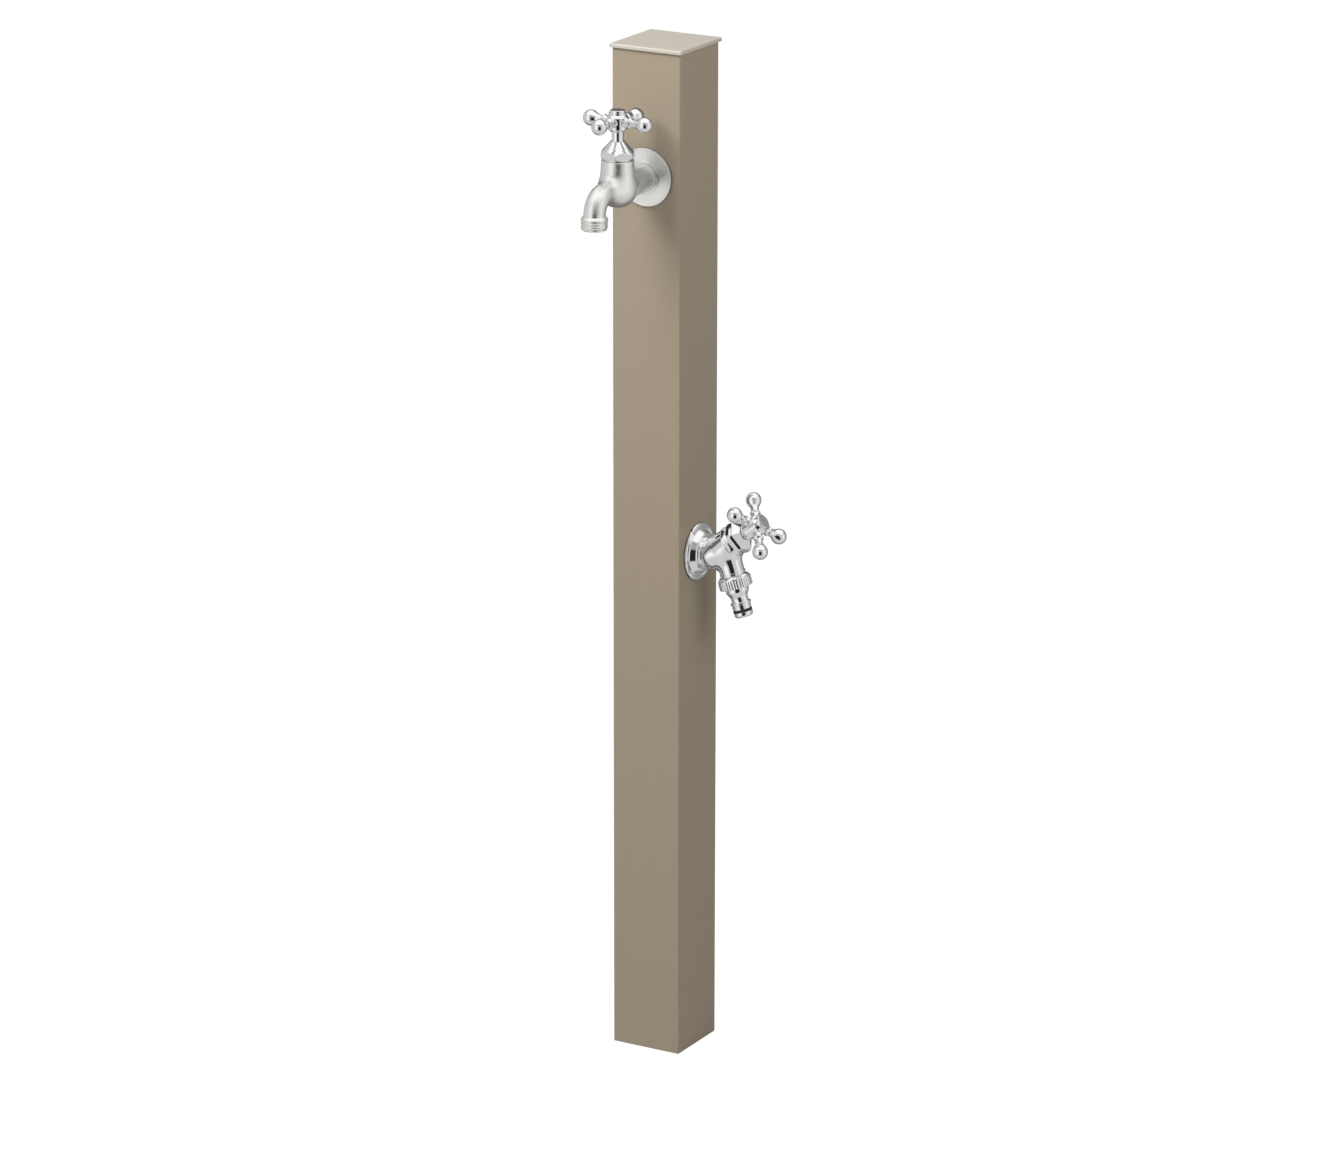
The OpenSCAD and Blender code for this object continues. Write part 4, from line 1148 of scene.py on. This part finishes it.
combine(
    side_casting,
    ("UNION", inlet("side_inlet", SIDE_SHOULDER, SIDE_TAP, CHROME)),
    ("UNION", side_thread),
    ("UNION", outlet_thread),
    ("UNION", outlet_ring),
    ("DIFFERENCE", outlet_bore),
)
attach(side_casting, "standpipe", "chrome", "lower_body")

# %% [markdown]
# ## Bonnets
#
# A bonnet is turned from a bar and then milled to six flats for a spanner. Where the
# turned chamfers run into the flats there are round arcs, which is how a real nut looks.
# So the field is a turned blank cut by six upright flats. The side tap's bonnet also has
# a dark chamfer and a cone with six faces each, so two sets of flats that lean in cut it
# as well. Each cut has its edges rounded a little, as on polished metal.

# %% Bonnets from turned blanks and sets of six flats
BONNET_R, BONNET_H, BONNET_HALF, BONNET_ROOM = 12.2 * MM, 14.6 * MM, 14.6 * MM, 0.6 * MM
ROOM_R, ROOM_H, STEM_R, FAR_OUT = 9.4 * MM, 6.4 * MM, 4.55 * MM, 20 * MM
FINE_STEP, TURNED_EDGE, HEX_EDGE, MILLED_EDGE = 0.3 * MM, 0.25 * MM, 0.3 * MM, 0.25 * MM
UPRIGHT = (BONNET_R, 0), (BONNET_R, BONNET_H)
# Inside, a wide room holds the packing and a narrow hole lets the spindle through
BONNET_HOLE = [
    (0, -MM),
    (ROOM_R, -MM),
    (ROOM_R, ROOM_H),
    (STEM_R, ROOM_H),
    (STEM_R, FAR_OUT),
    (0, FAR_OUT),
]


def bonnet_skin(blank, turn, flats):
    """The field of a bonnet: a turned blank, cut by sets of six flats and hollow inside."""

    def skin(points):
        body = rounded_turned(points, blank, TURNED_EDGE)
        for low, high in flats:
            cut = six_flats(points, low, high, turn, HEX_EDGE)
            body = rounded_cut(body, cut, MILLED_EDGE)
        return np.maximum(body, -turned_field(points, BONNET_HOLE))

    return skin


def bonnet(name, place, blank, turn, *flats):
    low = (-BONNET_HALF, -BONNET_HALF, -BONNET_ROOM)
    high = (BONNET_HALF, BONNET_HALF, BONNET_H + BONNET_ROOM)
    skin = bonnet_skin(blank, math.radians(turn), (UPRIGHT, *flats))
    return cast(name, skin, low, high, FINE_STEP, place, CHROME)


FRONT_BLANK = in_mm(
    (0, 0),
    (11.2, 0),
    (11.2, 0.9),
    (12.4, 1.2),
    (14.3, 3),
    (14.3, 4.8),
    (12.2, 7),
    (11.3, 8.2),
    (10.4, 9),
    (5.5, 14.6),
    (0, 14.6),
)
SIDE_BLANK = in_mm(
    (0, 0),
    (12.9, 0),
    (13.4, 0.4),
    (11.4, 4.7),
    (12.6, 5.1),
    (13.5, 5.7),
    (13.5, 10.2),
    (12.8, 10.7),
    (6.4, 14.6),
    (0, 14.6),
)
SIDE_CHAMFER = in_mm((12.2, 8.2), (11.2, 10.5))
SIDE_CONE = in_mm((11.2, 10.5), (5.5, 14.6))
FRONT_HEX_TURN, SIDE_HEX_TURN = 52, 42
front_bonnet = bonnet("front_bonnet", FRONT_HEAD, FRONT_BLANK, FRONT_HEX_TURN)
side_bonnet = bonnet(
    "side_bonnet", SIDE_HEAD, SIDE_BLANK, SIDE_HEX_TURN, SIDE_CHAMFER, SIDE_CONE
)
attach(front_bonnet, "standpipe", "chrome", "upper_bonnet")
attach(side_bonnet, "standpipe", "chrome", "lower_bonnet")

# %% [markdown]
# ## The cross handles
#
# A cross handle is one casting: a turned hub and four arms that end in balls. An arm has
# a straight root, a bead and a narrow neck, and the neck widens into its ball. Each of
# these is a field of its own, and small roundings join them, as polishing leaves them.
# The two handles differ only in the foot of their hubs and in how far they are turned.

# %% Cross handles: hub, arms and balls
ARM_REACH, BALL_R, BALL_BLEND = 24.6 * MM, 6.2 * MM, 2.4 * MM
THIN_R, THICK_R, THICK_AT = 2.9 * MM, 3.6 * MM, 20 * MM
ROOT_R, ROOT_EDGE, ROOT_BLEND = 3.7 * MM, 1 * MM, 0.5 * MM
BEAD_R, BEAD_FOOT, BEAD_END, BEAD_EDGE = 4.6 * MM, 10.8 * MM, 13 * MM, 2 * MM
NECK_BLEND, ARM_BLEND, HUB_EDGE = 0.8 * MM, 0.6 * MM, 0.3 * MM
HUB_R, HUB_RISE, COLLAR_R = 7.3 * MM, 7.2 * MM, 8.4 * MM
COLLAR_Z, COLLAR_TOP, LIP_Z = 3 * MM, 3.6 * MM, 5.9 * MM
BUTTON_R, BUTTON_SINK, BUTTON_GAP, LIP_T = 6.0 * MM, 2 * MM, 0.1 * MM, 0.8 * MM
SHOULDER_Z, DRIVE_R, HANDLE_STEP = -6.4 * MM, 4.6 * MM, 0.35 * MM
POCKET_Z = HUB_RISE - BUTTON_SINK


def arm_field(points, way):
    """One arm: a straight root, a bead, and a narrow neck that runs into a ball."""
    along = points @ way
    off_axis = np.linalg.norm(points - along[..., None] * way, axis=-1)
    root = rounded_cut(off_axis - ROOT_R, along - BEAD_END, ROOT_EDGE)
    root = rounded_cut(root, -along, ROOT_EDGE)
    bead = rounded_cut(off_axis - BEAD_R, along - BEAD_END, BEAD_EDGE)
    bead = rounded_cut(bead, BEAD_FOOT - along, BEAD_EDGE)
    neck = bar(points, way * BEAD_FOOT, way * THICK_AT, THIN_R, THICK_R)
    drop = rounded_join(neck, ball(points, way * ARM_REACH, BALL_R), BALL_BLEND)
    return rounded_join(rounded_join(root, bead, ROOT_BLEND), drop, NECK_BLEND)


def handle_skin(foot, turn):
    """The field of a handle, from the outline of its foot and the turn of its cross."""
    lip_r = BUTTON_R + LIP_T
    collar = [(HUB_R, COLLAR_Z), (COLLAR_R, COLLAR_Z), (COLLAR_R, COLLAR_TOP)]
    lip = [(lip_r, LIP_Z), (lip_r, HUB_RISE), (0, HUB_RISE)]
    hub = [(0, foot[0][1]), *foot, *collar, *lip]
    pocket = rod_outline(BUTTON_R + BUTTON_GAP, POCKET_Z, FAR_OUT)
    drive = rod_outline(DRIVE_R, -FAR_OUT, SHOULDER_Z)

    def skin(points):
        body = rounded_turned(points, hub, HUB_EDGE)
        for quarter in range(4):
            angle = turn + quarter * math.pi / 2
            way = np.array((math.cos(angle), math.sin(angle), 0))
            body = rounded_join(body, arm_field(points, way), ARM_BLEND)
        body = np.maximum(body, -turned_field(points, pocket))
        return np.maximum(body, -turned_field(points, drive))

    return skin


def handle(name, place, foot, turn):
    reach = ARM_REACH + BALL_R + MM
    low, high = (-reach, -reach, foot[0][1] - MM), (reach, reach, HUB_RISE + MM)
    skin = handle_skin(foot, math.radians(turn))
    return cast(name, skin, low, high, HANDLE_STEP, place, CHROME)


# The outlines of the hubs' feet, from the spindle's axis and from the arms' axes
FRONT_HUB_FOOT = in_mm((5.6, -7.8), (6.0, -6.9), (7.3, -5.6))
SIDE_HUB_FOOT = in_mm((6.6, -11.6), (6.8, -10.6), (6.3, -10.2), (6.3, -9.7), (7.3, -8.9))
FRONT_CROSS_TURN, SIDE_CROSS_TURN = -4, -38.4
# The height of the arms is measured along the spindle from each tap's own axis
FRONT_ARMS = FRONT_HEAD @ Matrix.Translation((0, 0, 51.6 * MM - FRONT_RIM))
SIDE_ARMS = SIDE_HEAD @ Matrix.Translation((0, 0, 47.8 * MM - SIDE_RIM))
front_handle = handle("front_handle", FRONT_ARMS, FRONT_HUB_FOOT, FRONT_CROSS_TURN)
side_handle = handle("side_handle", SIDE_ARMS, SIDE_HUB_FOOT, SIDE_CROSS_TURN)
attach(front_handle, "front_handle", "chrome", "upper_handle")
attach(side_handle, "side_handle", "chrome", "lower_handle")


# %% Buttons over the handles' screws
FRONT_BUTTON_RISE, SIDE_BUTTON_RISE, BUTTON_EDGE = 1.9 * MM, 0.4 * MM, 0.7 * MM


def button(name, place, rise):
    foot, top = POCKET_Z + BUTTON_GAP, HUB_RISE + rise
    outline = [(0, foot), (BUTTON_R, foot), (BUTTON_R, top, BUTTON_EDGE), (0, top)]
    return turned(name, rounded_profile(outline), place, CHROME)


front_button = button("front_button", FRONT_ARMS, FRONT_BUTTON_RISE)
side_button = button("side_button", SIDE_ARMS, SIDE_BUTTON_RISE)
attach(front_button, "front_handle", "chrome", "upper_handle_button")
attach(side_button, "side_handle", "chrome", "lower_handle_button")

# %% [markdown]
# ## Flanges
#
# A flange hides the hole in the post. Both are pressed from sheet, so all they need is a
# profile: a thin bright rim, a face, and on the side tap a bell with a collar that holds
# the shank. Rounded corners in the profile give the rims their line of light. The front
# tap's flange is flat and stays bare.

# %% Flanges, turned round each tap's axis
GASKET_T, FLANGE_SEGMENTS, FLANGE_ARC_STEPS = 0.6 * MM, 160, 3


def flange(name, tap, corners, material):
    place = lying(tap) @ Matrix.Translation((0, 0, GASKET_T))
    profile = rounded_profile(in_mm(*corners), FLANGE_ARC_STEPS)
    return turned(name, profile, place, material, FLANGE_SEGMENTS)


front_flange = flange(
    "front_flange",
    FRONT_TAP,
    [
        (10.55, 2.4),
        (10.55, 0),
        (23, 0, 0.3),
        (23, 1.6, 0.35),
        (21.6, 1.65, 0.3),
        (21.2, 1.45, 0.3),
        (13.2, 2.1, 0.6),
        (12.2, 3, 0.5),
        (10.55, 3, 0.2),
        (10.55, 2.4),
    ],
    SATIN,
)
side_flange = flange(
    "side_flange",
    SIDE_TAP,
    [
        (21.6, 0.4),
        (21.6, 0, 0.1),
        (23, 0, 0.3),
        (23, 1.3, 0.8),
        (21.9, 1.9, 0.5),
        (20.0, 2.2, 0.3),
        (19.4, 1.5, 0.3),
        (18.2, 2.0, 0.4),
        (15.4, 6.6, 1.0),
        (13.2, 7.0, 0.2),
        (12.9, 6.8, 0.1),
        (12.6, 8.4, 0.5),
        (11.2, 8.4, 0.3),
        (11.2, 4.6),
        (14.4, 4.6, 0.8),
        (16.8, 0.9, 0.4),
        (20.8, 0.6, 0.2),
    ],
    CHROME,
)
attach(front_flange, "standpipe", "satin_chrome", "upper_flange")
attach(side_flange, "standpipe", "chrome", "lower_flange")

# %% [markdown]
# ## The hose nut and its ribs
#
# The nut that holds the nipple is turned and has fine upright ribs for the fingers.
# One rib repeated round a circle is a rule, so Geometry Nodes place it: a circle of
# points carries one rib on each, turned to face outwards. The ribs are then joined to
# the nut's core, so that the whole nut is one skin.

# %% Geometry Nodes for a ring of ribs
RIB_CORNERS = 8


def rib_tree():
    tree, group_in, group_out = new_group(
        "ring_of_ribs",
        "GeometryNodeTree",
        [
            ("Count", INTEGER, 12),
            ("Radius", FLOAT, 0.01),
            ("Rib Radius", FLOAT, 0.001),
            ("Rib Height", FLOAT, 0.008),
            ("Material", MATERIAL, None),
        ],
        [("Geometry", GEOMETRY)],
    )
    values = group_in.outputs
    ring = add_node(
        tree,
        "GeometryNodeMeshCircle",
        {"Vertices": values["Count"], "Radius": values["Radius"]},
    )
    rib = add_node(
        tree,
        "GeometryNodeMeshCylinder",
        {
            "Vertices": RIB_CORNERS,
            "Radius": values["Rib Radius"],
            "Depth": values["Rib Height"],
        },
    )
    position = add_node(tree, "GeometryNodeInputPosition").outputs[0]
    outwards = add_node(
        tree,
        "FunctionNodeAlignRotationToVector",
        {"Vector": position},
        axis="X",
        pivot_axis="Z",
    )
    ribs = add_node(
        tree,
        "GeometryNodeInstanceOnPoints",
        {
            "Points": ring.outputs[0],
            "Instance": rib.outputs["Mesh"],
            "Rotation": outwards.outputs[0],
        },
    )
    real = add_node(tree, "GeometryNodeRealizeInstances", {"Geometry": ribs.outputs[0]})
    finished = add_node(
        tree,
        "GeometryNodeSetMaterial",
        {"Geometry": real.outputs[0], "Material": values["Material"]},
    )
    tree.links.new(finished.outputs[0], group_out.inputs["Geometry"])
    return tree


# %% The nut: a turned core with its ribs
NUT_R, NUT_END, CORE_DEPTH, NUT_FOOT_R = 13.4 * MM, 25.7 * MM, 0.7 * MM, 11.2 * MM
NUT_RIBS, RIB_R, RIB_START, RIB_END = 44, 0.62 * MM, 18.3 * MM, NUT_END - 0.5 * MM
NUT_BORE_R, NUT_HOLE_R, NUT_LIP, NUT_SEGMENTS = 10.4 * MM, 9.4 * MM, 2 * MM, 176
nut = turned(
    "hose_nut_core",
    rounded_profile(
        [
            (NUT_BORE_R, NUT_Z + 3 * MM),
            (NUT_BORE_R, NUT_Z, 0.2 * MM),
            (NUT_FOOT_R, NUT_Z, 0.3 * MM),
            (NUT_R - CORE_DEPTH, NUT_Z + 1.7 * MM, 0.6 * MM),
            (NUT_R - CORE_DEPTH, NUT_END, 0.8 * MM),
            (NUT_HOLE_R, NUT_END, 0.2 * MM),
            (NUT_HOLE_R, NUT_END - NUT_LIP),
            (NUT_BORE_R, NUT_END - NUT_LIP),
        ]
    ),
    OUTLET,
    CHROME,
    NUT_SEGMENTS,
)
ribs = from_tree(
    "nut_ribs",
    rib_tree(),
    {
        "Count": NUT_RIBS,
        "Radius": NUT_R - RIB_R,
        "Rib Radius": RIB_R,
        "Rib Height": RIB_END - RIB_START,
        "Material": CHROME,
    },
    OUTLET @ Matrix.Translation((0, 0, (RIB_START + RIB_END) / 2)),
)
combine(nut, ("UNION", ribs))
nut.name = "ribbed_nut"
attach(nut, "standpipe", "chrome", "hose_nut")

# %% [markdown]
# ## The hose nipple and its seal
#
# The nipple is one turned brass piece: a shoulder that comes out of the nut, a waist,
# the catch ring that a hose coupling snaps over, and a nose with a rubber ring in a
# groove. A profile with rounded corners is all it needs.

# %% Nipple and O-ring
NIPPLE_SEGMENTS = 128
nipple = turned(
    "nipple",
    rounded_profile(
        in_mm(
            (4.7, 30),
            (4.7, 22.4),
            (10.1, 22.4),
            (10.1, 24.1),
            (9.3, 24.1),
            (9.3, 28.9, 0.7),
            (7.6, 31.6, 1.2),
            (6.8, 33.4, 1.5),
            (6.8, 37.4, 0.4),
            (8.2, 37.4, 0.4),
            (8.2, 39.0, 0.4),
            (7.5, 39.1, 0.2),
            (7.5, 43.1, 0.2),
            (5.5, 43.1, 0.1),
            (5.5, 45.4, 0.1),
            (7.5, 45.4, 0.2),
            (7.5, 48.2, 0.9),
            (6.2, 49.5, 0.5),
            (4.7, 49.5, 0.4),
            (4.7, 30),
        )
    ),
    OUTLET,
    CHROME,
    NIPPLE_SEGMENTS,
)
attach(nipple, "standpipe", "chrome", "hose_nipple")
SEAL_Z, SEAL_HALF, SEAL_MIDDLE_R, SEAL_STEPS = 44.25 * MM, 1.1 * MM, 6.65 * MM, 20
seal_section = [
    (SEAL_MIDDLE_R + SEAL_HALF * math.cos(angle), SEAL_HALF * math.sin(angle))
    for angle in np.arange(SEAL_STEPS) * 2 * math.pi / SEAL_STEPS
]
seal_place = OUTLET @ Matrix.Translation((0, 0, SEAL_Z))
seal = turned("seal_ring", seal_section, seal_place, FINISHES["rubber"], NIPPLE_SEGMENTS)
attach(seal, "standpipe", "rubber", "nipple_oring")

# %% Show the colours as they are and close the scene
bpy.context.scene.view_settings.view_transform = "Standard"
